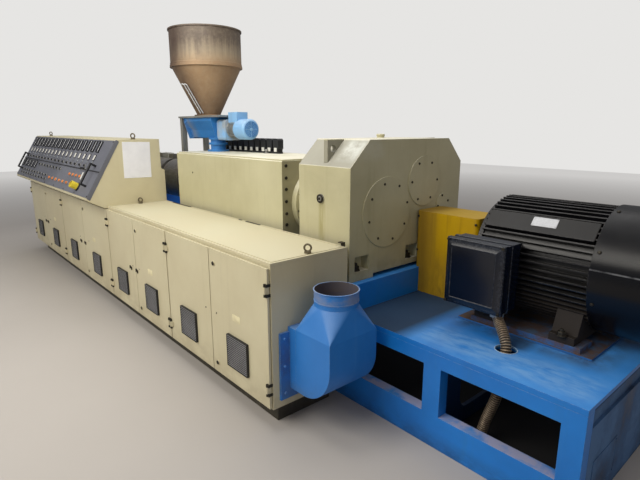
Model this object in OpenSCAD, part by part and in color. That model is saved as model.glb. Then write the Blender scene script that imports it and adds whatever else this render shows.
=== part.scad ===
// Plastic extruder line unit: skid, gearbox, motor, feed hopper and barrel,
// with a low electrical cabinet and its control console along the front.
// Millimetres, +Z up, +X towards the motor, cabinet doors face -Y.
// The origin is on the floor at the middle of the skid.

/* [Skid] */
// Number of windows in each side girder
skid_windows = 10; // [6:1:12]
// Clear length of one window
window_len = 518; // [300:1:560]
// Upright between two windows
window_post = 92; // [60:1:140]
// Upright at each end of the girder
end_post = 85; // [60:1:160]
// Width of the deck beyond the gearbox on each side
deck_edge = 38; // [30:1:200]
// Height of the skid deck above the floor
skid_h = 487; // [400:1:600]
// Height of the girder's bottom flange
skid_sill = 162; // [90:1:190]
// Height of the girder's top band
skid_band = 89; // [60:1:120]
// Plate thickness of the girders
skid_plate = 60; // [30:1:90]
// Thickness of the deck plate
deck_t = 25; // [15:1:40]
// Thickness of the end plates and cross plates
cross_t = 20; // [12:1:30]
// Height of the facing plate on each end
end_facing_h = 390; // [340:1:430]
// Thickness of the drip pan between the girders
pan_t = 4; // [3:1:6]
// Width of the hand hole in a cross plate
cross_hole_w = 586; // [400:1:610]

/* [Gearbox] */
// X of the gearbox face on the motor side
gearbox_x = 1864; // [1800:1:1900]
// Length of the gearbox along the skid
gearbox_len = 415; // [360:1:500]
// Width of the gearbox housing
gearbox_w = 970; // [900:1:1010]
// Height of the gearbox housing over its feet
gearbox_h = 745; // [700:1:800]
// Slant of the top corners, equal both ways
gearbox_slant = 140; // [100:1:180]
// Height of the pedestal under the gearbox
pedestal_h = 148; // [100:1:200]
// How far the pedestal runs past the gearbox at each end
pedestal_lip = 40; // [20:1:45]
// Height of the feet under the housing
foot_h = 22; // [12:1:40]
// Width of one gearbox foot
foot_w = 186; // [120:1:220]
// Width of the pocket over a foot bolt
foot_pocket = 106; // [70:1:110]
// Height of the pocket over a foot bolt
foot_pocket_h = 82; // [60:1:110]
// Height of the pocket's floor over the housing's underside
foot_flange = 53; // [30:1:70]
// Y of the middle pocket
foot_pocket_y = 28; // [-40:1:60]
// Thickness of the lifting lugs
lug_t = 30; // [20:1:40]
// Radius of the hole in a lifting lug
lug_hole_r = 20; // [12:1:26]

/* [Bearing covers] */
// Height of the screw axis above the floor
screw_z = 988; // [940:1:1040]
// Y of the screw axis
screw_y = -200; // [-230:1:-170]
// Radius of the thrust bearing cover
thrust_cover_r = 195; // [160:1:196]
// Y of the upper shaft cover
upper_cover_y = 122; // [118:1:140]
// Height of the upper shaft cover's centre
upper_cover_z = 1138; // [1130:1:1160]
// Radius of the upper shaft cover
upper_cover_r = 146; // [110:1:148]
// Y of the small shaft cover
small_cover_y = 314; // [310:1:360]
// Height of the small shaft cover's centre
small_cover_z = 987; // [960:1:1010]
// Radius of the small shaft cover
small_cover_r = 64; // [50:1:72]
// How far a cover stands proud of the housing
cover_t = 5; // [4:1:14]
// X of the oil sight plug on the front face
sight_x = 1640; // [1560:1:1700]
// Height of the oil sight plug
sight_z = 1066; // [1000:1:1120]
// Radius of the oil sight plug
sight_r = 24; // [16:1:34]

/* [Feed housing] */
// Gap between the feed housing and the gearbox
lantern_len = 162; // [120:1:220]
// Radius of the round flange on the feed housing
lantern_flange_r = 215; // [200:1:235]
// Thickness of the round flange
lantern_flange_t = 42; // [25:1:60]
// Radius of the neck between flange and gearbox
lantern_neck_r = 172; // [140:1:190]
// Length of the feed housing
feed_len = 1413; // [1300:1:1500]
// Width of the feed housing
feed_w = 570; // [500:1:590]
// Height of the feed housing
feed_h = 520; // [460:1:560]
// Thickness of the plate on top of the feed housing
feed_lid_t = 8; // [5:1:14]
// Number of plug blocks in the row on the housing
plug_count = 10; // [8:1:11]
// Distance from one plug block to the next
plug_pitch = 80; // [72:1:84]
// Width of one plug block along the row
plug_w = 64; // [54:1:70]
// Height of a plug block over its foot strip
plug_h = 94; // [80:1:110]
// Depth of a plug block
plug_d = 48; // [40:1:60]
// Height of the foot strip and of each block's narrow base
plug_foot = 14; // [10:1:18]
// X of the first plug block's centre
plug_x = -50; // [-60:1:-30]
// Y of the row of plug blocks
plug_y = -60; // [-64:1:-50]

/* [Barrel] */
// Outer radius of the barrel
barrel_r = 140; // [110:1:160]
// Radius of the barrel's bore at the outlet
barrel_bore_r = 75; // [50:1:90]
// Depth of the barrel's bore at the outlet
barrel_bore_depth = 200; // [150:1:205]
// Length of the barrel out of the feed housing
barrel_len = 2750; // [2400:1:2800]
// Outer radius of the heater bands
band_r = 178; // [165:1:215]
// Number of heater bands
band_count = 6; // [4:1:6]
// Gap between heater bands
band_gap = 62; // [40:1:80]
// Gap between the feed housing and the first heater band
feed_band_gap = 280; // [276:1:300]
// Thickness of a barrel saddle
saddle_t = 36; // [20:1:44]
// Radius of the outlet flange
outlet_r = 230; // [200:1:260]
// Thickness of the outlet flange
outlet_t = 60; // [40:1:80]
// Pitch circle radius of the outlet flange's bolts
outlet_bolt_pcr = 185; // [150:1:195]
// Radius of an outlet flange bolt hole
outlet_bolt_r = 13; // [9:1:16]
// Number of outlet flange bolts
outlet_bolts = 12; // [8:1:16]

/* [Hopper and feeder] */
// X of the hopper's axis
hopper_x = -92; // [-110:1:-80]
// Radius of the hopper's drum
hopper_r = 279; // [240:1:320]
// Height of the drum part
hopper_drum_h = 270; // [200:1:340]
// Height of the cone part
hopper_cone_h = 384; // [320:1:440]
// Radius of the cone's outlet
hopper_outlet_r = 92; // [80:1:100]
// Wall of the hopper
hopper_wall = 4; // [3:1:8]
// Height of the hopper table above the floor
table_z = 1522; // [1500:1:1560]
// Thickness of the hopper table
table_t = 14; // [10:1:24]
// Length of the hopper table
table_len = 674; // [660:1:682]
// Width of the hopper table
table_w = 260; // [252:1:280]
// Side of the table's square legs
leg_side = 40; // [30:1:60]
// X of the feed throat's axis
throat_x = 40; // [20:1:50]
// Radius of the feed throat
throat_r = 60; // [45:1:70]
// Height of the feeder screw's axis
auger_z = 1430; // [1420:1:1440]
// Radius of the feeder screw's tube
auger_r = 52; // [40:1:60]
// Radius of the feeder's drive motor
drive_r = 75; // [60:1:85]
// Length of the feeder's drive motor over its fan end
drive_len = 145; // [110:1:180]
// Length of the feeder's gear case
gear_case_len = 130; // [120:1:140]
// Length of the trough before the hopper's axis
trough_back = 208; // [180:1:212]
// Length of the trough past the hopper's axis
trough_front = 242; // [230:1:250]
// Half width of the trough at the table
trough_half = 112; // [100:1:115]
// End plates of the trough
trough_plate = 8; // [5:1:12]

/* [Motor] */
// Y of the motor shaft
motor_y = 175; // [160:1:190]
// Height of the motor shaft above the floor
motor_z = 820; // [800:1:840]
// X of the motor's drive end
motor_x = 2369; // [2340:1:2400]
// Length of the finned frame
motor_len = 520; // [440:1:620]
// Radius over the fins
motor_r = 283; // [260:1:300]
// Height of one cooling fin
fin_h = 34; // [24:1:44]
// Thickness of one cooling fin
fin_t = 7; // [5:1:10]
// Number of cooling fins around the frame
fin_count = 60; // [40:1:64]
// Radius of the fan cowl
cowl_r = 290; // [286:1:310]
// Length of the fan cowl
cowl_len = 330; // [260:1:380]
// Sheet of the fan cowl
cowl_t = 6; // [4:1:9]
// Radius of the motor shaft
shaft_r = 42; // [30:1:55]
// Thickness of the sole plate under the motor
sole_t = 10; // [8:1:16]
// Height of the rails under the motor's feet
rail_h = 23; // [12:1:30]
// Width of the sole plate
sole_w = 612; // [600:1:640]
// Half of the spread of the motor's feet
foot_spread = 229; // [200:1:250]
// Width of the terminal box along the motor
tbox_len = 286; // [240:1:320]
// Height of the terminal box
tbox_h = 313; // [260:1:340]
// X of the terminal box's left side
tbox_x = 2307; // [2290:1:2330]
// Height of the terminal box's underside
tbox_z = 615; // [600:1:640]
// Y of the terminal box's cover
tbox_y = -255; // [-270:1:-250]
// Depth of the terminal box with its cover
tbox_d = 144; // [130:1:145]
// Radius of the flexible conduit
conduit_r = 24; // [16:1:30]
// Centre of the conduit's hole in the deck, X and Y
conduit_hole = [2659, -293];

/* [Coupling guard] */
// Width of the coupling guard
guard_w = 240; // [200:1:280]
// Height of the guard's top above the floor
guard_z = 972; // [930:1:1000]
// Length of the guard from the gearbox face
guard_len = 410; // [380:1:440]
// Radius of the guard's upright corners
guard_corner = 26; // [10:1:50]

/* [Cabinet] */
// X of the cabinet's end on the motor side
cabinet_x = 1889; // [1870:1:1900]
// Width of the two bays under the flat lid
bay_w = 1095; // [1000:1:1150]
// Width of the two bays under the console
console_bay_w = 1380; // [1300:1:1420]
// Depth of the cabinet, which stands against the skid
cabinet_d = 482; // [440:1:520]
// Height of the cabinet's underside above the floor
cabinet_z = 115; // [80:1:140]
// Height of the cabinet under its lid
cabinet_h = 716; // [680:1:760]
// Sheet of the cabinet's walls, with its folds
wall_t = 16; // [8:1:24]
// Thickness of the lid
lid_t = 15; // [10:1:24]
// Thickness of the dividers between bays
divider_t = 40; // [24:1:60]
// Height of the plinth's setback from the front
plinth_setback = 70; // [40:1:120]

/* [Doors] */
// Thickness of a door leaf
door_t = 12; // [8:1:16]
// Gap between the door's back and the cabinet
door_back_gap = 4; // [3:1:8]
// Gap between the leaves at a bay's middle
seam_gap = 6; // [6:1:10]
// Gap from a leaf's hinged edge to the bay's edge
hinge_gap = 6; // [6:1:10]
// Gap over and under a leaf
door_z_gap = 8; // [6:1:12]
// How far the hinge pin sits in from the leaf's edge
hinge_inset = 9; // [7:1:12]
// Radius of a hinge barrel
hinge_r = 7; // [5:1:9]
// Length of the barrel on the leaf
hinge_len = 34; // [24:1:50]
// Length of each fixed knuckle
knuckle_len = 14; // [8:1:20]
// Radius of a hinge pin
pin_r = 3.5; // [2.5:0.5:4]
// Running clearance round a hinge pin
pin_gap = 0.08; // [0.05:0.01:0.1]
// Height of the hinge barrels' centres over the underside
hinge_heights = [108, 606];
// Width of a vent
vent_w = 189; // [150:1:220]
// Height of a vent
vent_h = 174; // [140:1:200]
// Height of a vent's lower edge over the underside
vent_z = 106; // [80:1:140]
// Number of louvre blades in a vent
vent_blades = 9; // [6:1:12]
// Radius of a door lock
lock_r = 13; // [9:1:18]
// Distance of a lock from the seam
lock_in = 50; // [40:1:70]
// Lock heights above the cabinet's floor
lock_heights = [66, 632];

/* [Console] */
// Rise of the console above the cabinet
console_h = 522; // [480:1:560]
// Height of the console's thick back over the cabinet
console_back_h = 270; // [220:1:320]
// Y of the console's upper front edge
console_top_y = -887; // [-910:1:-870]
// Y of the console's lower front lip
console_lip_y = -1150; // [-1170:1:-1130]
// Height of the lip above the cabinet top
console_lip_z = 73; // [60:1:90]
// Thickness of the instrument panel
panel_t = 8; // [5:1:12]
// Border round the instrument panel
panel_border = 14; // [8:1:24]
// Radius of a grab handle's bar
grab_r = 9; // [7:1:12]
// Stand-off of a grab handle
grab_out = 46; // [36:1:60]
// Length of a grab handle
grab_len = 176; // [140:1:220]

/* [Air duct] */
// Depth of the flange plate and the box neck behind the elbow
duct_flange_t = 58; // [40:1:70]
// Thickness of the flange plate
duct_plate_t = 12; // [8:1:20]
// Width of the flange plate
duct_plate_w = 406; // [360:1:440]
// Height of the flange plate
duct_plate_h = 345; // [330:1:380]
// Height of the flange plate's lower edge above the floor
duct_plate_z = 155; // [140:1:170]
// Length of the duct elbow along the skid
duct_len = 239; // [210:1:260]
// Width of the duct elbow
duct_w = 296; // [270:1:320]
// Height of the elbow's underside above the floor
duct_z = 208; // [190:1:230]
// Height of the square part
duct_h = 314; // [290:1:350]
// Height of the square to round part
duct_neck_h = 126; // [90:1:150]
// Inner radius of the round collar
collar_r = 101; // [90:1:110]
// Height of the round collar
collar_h = 75; // [60:1:110]
// Sheet of the duct
duct_wall = 3; // [2:1:5]
// Radius of the elbow's outer bend
duct_bend = 190; // [140:1:220]

/* [View] */
// Which sub-part is built

/* [Hidden] */
skid_w = gearbox_w + 2 * deck_edge;
skid_len = skid_windows * window_len + (skid_windows - 1) * window_post + 2 * end_post;
skid_x0 = -skid_len / 2;
gearbox_z = skid_h + pedestal_h;
gearbox_x0 = gearbox_x - gearbox_len;
feed_x1 = gearbox_x0 - lantern_len;
feed_x0 = feed_x1 - feed_len;
feed_y0 = screw_y - feed_w / 2;
feed_z0 = screw_z - feed_h / 2;
feed_top = feed_z0 + feed_h + feed_lid_t;
barrel_x0 = feed_x0 - barrel_len;
band_room = barrel_len - feed_band_gap - barrel_bore_depth - saddle_t - 34;
band_len = (band_room - (band_count - 1) * band_gap) / band_count;
first_band = feed_x0 - feed_band_gap - band_len;
hopper_z0 = table_z + table_t;
table_x = hopper_x + trough_front + trough_plate + gear_case_len - 3;
cabinet_y = -skid_w / 2 - cabinet_d;
far_x = cabinet_x - 2 * bay_w - 2 * console_bay_w;
cabinet_top = cabinet_z + cabinet_h;
console_x1 = cabinet_x - 2 * bay_w;
trough_low = auger_z - auger_r - 14;
console_len = 2 * console_bay_w;
bay_edges = [cabinet_x, cabinet_x - bay_w, console_x1, console_x1 - console_bay_w, far_x];
frame_setback = 3;
door_y1 = cabinet_y - door_back_gap;
door_y0 = door_y1 - door_t;
hinge_y = door_y0 - hinge_r;
slope_rise = console_h - console_lip_z;
slope_run = console_top_y - console_lip_y;
slope_len = sqrt(slope_rise * slope_rise + slope_run * slope_run);
slope_angle = atan2(slope_rise, slope_run);
duct_x0 = cabinet_x + duct_flange_t;
duct_xc = duct_x0 + duct_len / 2;
duct_yc = cabinet_y + cabinet_d / 2;
$fn = 64;

// An upright block given by its low corner and its size
module block(x, y, z, l, w, h) {
    translate([x, y, z])
        cube([l, w, h]);
}

// A round bar along +X that starts at a point
module bar_x(x, y, z, r, l) {
    translate([x, y, z])
        rotate([0, 90, 0])
            cylinder(r = r, h = l);
}

// A flat rectangle with round corners
module round_rect(l, w, r) {
    translate([r, 0])
        square([l - 2 * r, w]);
    translate([0, r])
        square([l, w - 2 * r]);
    for (x = [r, l - r], y = [r, w - r])
        translate([x, y])
            circle(r);
}

// A profile drawn in Y and Z that is drawn out along +X
module along_x(x, l) {
    translate([x, 0, 0])
        rotate([90, 0, 90])
            linear_extrude(l)
                children();
}

module skid_deck() {
    color("#3f86c8")
        difference() {
            block(skid_x0, -skid_w / 2, skid_h - deck_t, skid_len, skid_w, deck_t);
            translate([conduit_hole[0], conduit_hole[1], skid_h - deck_t - 1])
                cylinder(r = conduit_r + 22, h = deck_t + 2);
        }
}

// One side girder: sill and top band joined by the posts between the windows
module girder(y) {
    difference() {
        block(skid_x0, y, 0, skid_len, skid_plate, skid_h - deck_t);
        for (i = [0:skid_windows - 1])
            block(skid_x0 + end_post + i * (window_len + window_post), y - 1, skid_sill,
                window_len, skid_plate + 2, skid_h - skid_band - skid_sill);
    }
}

module skid_girders() {
    color("#1a73c0") {
        girder(-skid_w / 2);
        girder(skid_w / 2 - skid_plate);
    }
}

// Closed end plates with a lower facing plate, cross plates with hand holes, and a drip pan
module skid_crossmembers() {
    inner_w = skid_w - 2 * skid_plate;
    pitch = window_len + window_post;
    color("#2a6cae") {
        for (side = [-1, 1]) {
            face_x = side > 0 ? -skid_x0 - 12 : skid_x0;
            plate_x = side > 0 ? face_x - cross_t : face_x + 12;
            block(plate_x, -inner_w / 2, 0, cross_t, inner_w, skid_h - deck_t);
            block(face_x, -inner_w / 2, 0, 12, inner_w, end_facing_h);
        }
        for (i = [-4:2:4])
            along_x(i * pitch - cross_t / 2, cross_t)
                difference() {
                    translate([-inner_w / 2, 0])
                        square([inner_w, skid_h - deck_t]);
                    translate([-cross_hole_w / 2, skid_sill - 70])
                        round_rect(cross_hole_w, skid_h - skid_band - skid_sill + 70, 70);
                }
        block(skid_x0 + 12, -inner_w / 2, 0, -2 * skid_x0 - 24, inner_w, pan_t);
    }
}

module gearbox_pedestal() {
    color("#1f6fb8")
        block(gearbox_x0 - 14, 18 - skid_w / 2, skid_h, gearbox_len + 14 + pedestal_lip,
            skid_w - 36, pedestal_h);
}

module gearbox_outline() {
    polygon([
        [-gearbox_w / 2, 0],
        [gearbox_w / 2, 0],
        [gearbox_w / 2, gearbox_h - gearbox_slant],
        [gearbox_w / 2 - gearbox_slant, gearbox_h],
        [-gearbox_w / 2 + gearbox_slant, gearbox_h],
        [-gearbox_w / 2, gearbox_h - gearbox_slant]]);
}

// Feet under both sides with a shadow gap between them, and pockets over the foot bolts
module gearbox_housing() {
    foot_y = gearbox_w / 2 - foot_w / 2;
    color("#ada582")
        difference() {
            translate([0, 0, gearbox_z])
                along_x(gearbox_x0, gearbox_len)
                    gearbox_outline();
            block(gearbox_x0 - 1, foot_w / 2 - foot_y, gearbox_z - 1, gearbox_len + 2,
                2 * foot_y - foot_w, foot_h + 1);
            for (y = [-foot_y, foot_pocket_y, foot_y], x = [gearbox_x0 - 1, gearbox_x - 55])
                block(x, y - foot_pocket / 2, gearbox_z + foot_flange, 56, foot_pocket, foot_pocket_h);
        }
}

// A triangular plate that fills each slanted corner, with an eye for the hook
module gearbox_lugs() {
    x = gearbox_x0 + gearbox_len / 2 - lug_t / 2;
    arm = gearbox_slant - 18;
    color("#b5ad8a")
        for (side = [-1, 1])
            translate([0, side * (gearbox_w / 2 - gearbox_slant), gearbox_z + gearbox_h])
                along_x(x, lug_t)
                    difference() {
                        polygon([[0, 0], [side * arm, 0], [side * arm, -arm]]);
                        translate([side * arm * 0.66, -arm * 0.40])
                            circle(lug_hole_r);
                    }
}

module cover_disc(y, z, r) {
    bar_x(gearbox_x, y, z, r, cover_t);
}

module thrust_cover() {
    color("#70664e")
        cover_disc(screw_y, screw_z, thrust_cover_r);
}

module shaft_covers() {
    color("#70664e") {
        cover_disc(upper_cover_y, upper_cover_z, upper_cover_r);
        cover_disc(small_cover_y, small_cover_z, small_cover_r);
    }
}

module sight_plug() {
    color("#8d8a80")
        translate([sight_x, -gearbox_w / 2, sight_z])
            rotate([90, 0, 0]) {
                cylinder(r = sight_r, h = 6);
                cylinder(r = sight_r * 0.62, h = 12, $fn = 6);
            }
}

// Round flange on the feed housing and the neck that joins it to the gearbox
module lantern() {
    color("#bab58f")
        translate([feed_x1, screw_y, screw_z])
            rotate([0, 90, 0])
                rotate_extrude()
                    polygon([
                        [0, 0],
                        [lantern_flange_r, 0],
                        [lantern_flange_r, lantern_flange_t],
                        [lantern_neck_r + 14, lantern_flange_t + 6],
                        [lantern_neck_r, lantern_flange_t + 22],
                        [lantern_neck_r, lantern_len],
                        [0, lantern_len]]);
}

module feed_housing() {
    color("#b9b48e")
        along_x(feed_x0, feed_len)
            translate([feed_y0, feed_z0])
                round_rect(feed_w, feed_h, 6);
}

module feed_housing_lid() {
    color("#d2cda6")
        block(feed_x0 + 12, feed_y0 + 12, feed_z0 + feed_h, feed_len - 24, feed_w - 24, feed_lid_t);
}

// A rail that carries the row of plug blocks, each on a white foot
module plug_row() {
    chamfer = plug_w * 0.16;
    color("#17181c") {
        block(plug_x - plug_w / 2, plug_y - 0.42 * plug_d, feed_top, (plug_count - 1) * plug_pitch + plug_w,
            0.84 * plug_d, plug_foot);
        for (i = [0:plug_count - 1])
            translate([plug_x + i * plug_pitch, plug_y + plug_d / 2, feed_top + plug_foot])
                rotate([90, 0, 0])
                    linear_extrude(plug_d)
                        polygon([
                            [-plug_w / 2 + chamfer, 0],
                            [plug_w / 2 - chamfer, 0],
                            [plug_w / 2 - chamfer, plug_foot],
                            [plug_w / 2, plug_foot + chamfer],
                            [plug_w / 2, plug_h - chamfer],
                            [plug_w / 2 - chamfer, plug_h],
                            [-plug_w / 2 + chamfer, plug_h],
                            [-plug_w / 2, plug_h - chamfer],
                            [-plug_w / 2, plug_foot + chamfer],
                            [-plug_w / 2 + chamfer, plug_foot]]);
    }
}

module barrel() {
    color("#6f6f70")
        difference() {
            bar_x(barrel_x0, screw_y, screw_z, barrel_r, barrel_len);
            bar_x(barrel_x0 - 1, screw_y, screw_z, barrel_bore_r, barrel_bore_depth + 1);
        }
}

// Half-round heater bands with a clamping lug along their top
module heater_bands() {
    pitch = band_len + band_gap;
    color("#8a8b8c")
        for (i = [0:band_count - 1])
            along_x(first_band - i * pitch, band_len)
                translate([screw_y, screw_z])
                    difference() {
                        union() {
                            circle(band_r);
                            translate([-22, band_r - 8])
                                square([44, 46]);
                        }
                        circle(barrel_r);
                    }
}

// Two saddles that carry the barrel on the skid deck
module barrel_supports() {
    pitch = band_len + band_gap;
    saddle_x = [first_band - pitch - (band_gap + saddle_t) / 2, barrel_x0 + barrel_bore_depth + 15];
    color("#1f6fb8")
        for (x = saddle_x)
            along_x(x, saddle_t)
                difference() {
                    polygon([
                        [screw_y - band_r - 82, skid_h],
                        [screw_y + band_r + 82, skid_h],
                        [screw_y + barrel_r + 30, screw_z],
                        [screw_y - barrel_r - 30, screw_z]]);
                    translate([screw_y, screw_z])
                        circle(barrel_r);
                }
}

module outlet_flange() {
    color("#77787a")
        along_x(barrel_x0, outlet_t)
            translate([screw_y, screw_z])
                difference() {
                    circle(outlet_r);
                    circle(barrel_r);
                    for (i = [0:outlet_bolts - 1])
                        rotate(i * 360 / outlet_bolts)
                            translate([outlet_bolt_pcr, 0])
                                circle(outlet_bolt_r);
                }
}

// Drum and cone as one shell, open at the top and at the outlet
module hopper_shell() {
    cone_top = hopper_cone_h;
    top = hopper_cone_h + hopper_drum_h;
    color("#b59873")
        translate([hopper_x, screw_y, hopper_z0])
            rotate_extrude()
                polygon([
                    [hopper_outlet_r - hopper_wall, 0],
                    [hopper_outlet_r + 22, 0],
                    [hopper_outlet_r + 22, 8],
                    [hopper_outlet_r, 8],
                    [hopper_r - 8, cone_top - 14],
                    [hopper_r + 6, cone_top - 14],
                    [hopper_r + 6, cone_top],
                    [hopper_r, cone_top + 3],
                    [hopper_r, top - 10],
                    [hopper_r + 8, top - 10],
                    [hopper_r + 8, top],
                    [hopper_r - hopper_wall, top],
                    [hopper_r - hopper_wall, cone_top],
                    [hopper_outlet_r - hopper_wall, 10]]);
}

module hopper_table() {
    color("#b9c3c6")
        difference() {
            block(table_x - table_len, screw_y - table_w / 2, table_z, table_len, table_w, table_t);
            translate([hopper_x, screw_y, table_z - 1])
                cylinder(r = hopper_outlet_r - hopper_wall, h = table_t + 2);
        }
}

// Two legs under the table's far end stand on a clamp round the barrel
module table_legs() {
    start = table_x - table_len + 10;
    clamp_r = barrel_r + 30;
    foot_z = screw_z + 0.75 * clamp_r;
    color("#aeb8bb") {
        for (y = [screw_y - table_w / 2 + 8, screw_y + table_w / 2 - leg_side - 8])
            block(start, y, foot_z, leg_side, leg_side, table_z - foot_z);
        along_x(start - 5, leg_side + 10)
            translate([screw_y, screw_z])
                difference() {
                    circle(clamp_r);
                    circle(barrel_r);
                }
    }
}

// Trough under the hopper: straight over sloping sides, flat along its bottom,
// with the screw's end bearing on its far plate
module feeder_trough() {
    start = hopper_x - trough_back;
    inner = hopper_outlet_r - hopper_wall;
    color("#2f73b5") {
        along_x(start, trough_back + trough_front)
            difference() {
                translate([screw_y, 0])
                    polygon([
                        [-trough_half, table_z],
                        [trough_half, table_z],
                        [trough_half, table_z - 26],
                        [auger_r + 16, auger_z - 6],
                        [auger_r - 6, trough_low],
                        [-auger_r + 6, trough_low],
                        [-auger_r - 16, auger_z - 6],
                        [-trough_half, table_z - 26]]);
                translate([screw_y, auger_z])
                    circle(auger_r);
                translate([screw_y - auger_r, auger_z])
                    square([2 * auger_r, table_z - auger_z + 1]);
            }
        bar_x(start - trough_plate - 74, screw_y, auger_z, auger_r + 6, 74);
        for (x = [start - trough_plate, hopper_x + trough_front])
            along_x(x, trough_plate)
                translate([screw_y, 0])
                    polygon([
                        [-trough_half - 10, table_z],
                        [trough_half + 10, table_z],
                        [trough_half + 10, table_z - 34],
                        [auger_r + 26, trough_low - 10],
                        [-auger_r - 26, trough_low - 10],
                        [-trough_half - 10, table_z - 34]]);
    }
}

// Drop pipe from the trough to the feed housing, with its flanges
module feed_throat() {
    color("#2f7fbf")
        translate([throat_x, screw_y, feed_top]) {
            cylinder(r = throat_r, h = trough_low - feed_top);
            cylinder(r = throat_r + 26, h = 14);
            translate([0, 0, 54])
                cylinder(r = throat_r + 14, h = 16);
            translate([0, 0, trough_low - feed_top - 14])
                cylinder(r = throat_r + 14, h = 14);
        }
}

// Worm gear case, drive motor with its fan end, and terminal box
module feeder_drive() {
    start = hopper_x + trough_front + trough_plate;
    motor_start = start + gear_case_len;
    drum_start = motor_start + 100;
    color("#7fb0d8") {
        along_x(start, gear_case_len)
            translate([screw_y - drive_r + 3, auger_z - drive_r - 7])
                round_rect(2 * drive_r - 6, 2 * drive_r + 6, 24);
        bar_x(motor_start, screw_y, auger_z, drive_r - 22, 100);
        translate([drum_start, screw_y, auger_z])
            rotate([0, 90, 0])
                rotate_extrude()
                    polygon([
                        [0, 0],
                        [drive_r - 10, 0],
                        [drive_r, 10],
                        [drive_r, drive_len - 14],
                        [drive_r - 12, drive_len],
                        [0, drive_len]]);
        block(motor_start + 4, screw_y - 46, auger_z + 40, 126, 92, 86);
    }
}

module coupling_guard() {
    start = gearbox_x + cover_t + 4;
    color("#c9a300")
        difference() {
            translate([start, motor_y - guard_w / 2, skid_h])
                linear_extrude(guard_z - skid_h)
                    round_rect(guard_len - cover_t - 4, guard_w, guard_corner);
            block(start - 1, motor_y - guard_w, skid_h - 1, pedestal_lip - cover_t - 2.7, 2 * guard_w,
                pedestal_h + 1);
        }
}

// Thin plate on the deck with a rail under each side's feet
module motor_sole_plate() {
    color("#2b78bd") {
        block(motor_x - 60, motor_y - sole_w / 2, skid_h, motor_len + 123, sole_w, sole_t);
        for (y = [motor_y - foot_spread - 66, motor_y + foot_spread - 66])
            block(motor_x + 4, y, skid_h + sole_t, motor_len + 6, 132, rail_h);
    }
}

// Frame tube with fins all round, and the four cast feet under it
module motor_frame() {
    core_r = motor_r - fin_h;
    foot_z = skid_h + sole_t + rail_h;
    color("#1c1d21") {
        along_x(motor_x, motor_len)
            translate([motor_y, motor_z]) {
                circle(core_r);
                for (i = [0:fin_count - 1])
                    rotate(i * 360 / fin_count)
                        translate([core_r - 6, -fin_t / 2])
                            square([fin_h + 6, fin_t]);
            }
        block(motor_x + 18, tbox_y + tbox_d, motor_z - 95, tbox_x + tbox_len - motor_x - 40,
            motor_y - core_r + 40 - tbox_y - tbox_d, 190);
        for (x = [motor_x + 20, motor_x + motor_len - 130])
            along_x(x, 110)
                translate([motor_y, 0]) {
                    translate([-foot_spread - 62, foot_z])
                        square([2 * foot_spread + 124, 34]);
                    polygon([
                        [-foot_spread - 30, foot_z + 34],
                        [foot_spread + 30, foot_z + 34],
                        [core_r * 0.82, motor_z - core_r * 0.50],
                        [-core_r * 0.82, motor_z - core_r * 0.50]]);
                }
    }
}

// Drive end shield with its bearing boss and the shaft into the guard
module motor_end_bell() {
    depth = 74;
    core_r = motor_r - fin_h;
    color("#1c1d21")
        translate([motor_x, motor_y, motor_z])
            rotate([0, -90, 0])
                rotate_extrude()
                    polygon([
                        [0, 0],
                        [core_r + 10, 0],
                        [core_r + 10, 22],
                        [core_r - 18, 36],
                        [core_r * 0.52, depth - 20],
                        [core_r * 0.42, depth - 20],
                        [core_r * 0.38, depth],
                        [shaft_r, depth],
                        [shaft_r, motor_x - gearbox_x - guard_len],
                        [0, motor_x - gearbox_x - guard_len]]);
}

// Cowl shell with a rounded rear edge and a grille of rings on crossed bars
module motor_fan_cowl() {
    cowl_x = motor_x + motor_len;
    ring_step = 26;
    color("#141519")
        translate([cowl_x, motor_y, motor_z])
            rotate([0, 90, 0]) {
                rotate_extrude()
                    polygon([
                        [motor_r - fin_h - 4, 0],
                        [cowl_r, 0],
                        [cowl_r, cowl_len - 40],
                        [cowl_r - 12, cowl_len - 12],
                        [cowl_r - 40, cowl_len],
                        [cowl_r - 52, cowl_len],
                        [cowl_r - 52, cowl_len - cowl_t],
                        [cowl_r - 42, cowl_len - cowl_t],
                        [cowl_r - 12 - cowl_t, cowl_len - 18],
                        [cowl_r - cowl_t, cowl_len - 44],
                        [cowl_r - cowl_t, 18],
                        [motor_r - fin_h - 4, 18]]);
                for (r = [60:ring_step:cowl_r - 60])
                    translate([0, 0, cowl_len - cowl_t])
                        rotate_extrude()
                            translate([r, 0])
                                square([8, cowl_t]);
                translate([0, 0, cowl_len - cowl_t])
                    cylinder(r = 44, h = cowl_t);
                for (a = [0, 90])
                    rotate(a)
                        translate([-(cowl_r - 50), -7, cowl_len - cowl_t])
                            cube([2 * (cowl_r - 50), 14, cowl_t]);
            }
}

// Box on the motor's side, with a proud cover
module terminal_box() {
    color("#10141d") {
        block(tbox_x, tbox_y + 22, tbox_z, tbox_len, tbox_d - 22, tbox_h);
        block(tbox_x - 6, tbox_y, tbox_z - 6, tbox_len + 12, 22, tbox_h + 12);
    }
}

// Flexible conduit from the terminal box down through the deck
module motor_conduit() {
    drop = [
        [tbox_x + tbox_len - 43, tbox_y + 59, tbox_z - 23],
        [conduit_hole[0], conduit_hole[1], skid_h + 18],
        [conduit_hole[0] - 15, conduit_hole[1] - 40, skid_sill * 0.8]];
    color("#8b7b6b") {
        for (i = [0:len(drop) - 2]) {
            run = drop[i + 1] - drop[i];
            length = norm(run);
            translate(drop[i])
                rotate([0, acos(run[2] / length), atan2(run[1], run[0])])
                    cylinder(r = conduit_r, h = length + (i < len(drop) - 2 ? conduit_r * 0.6 : 0));
        }
        translate([drop[0][0], drop[0][1], tbox_z - 30])
            cylinder(r = conduit_r + 6, h = 30);
    }
}

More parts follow.
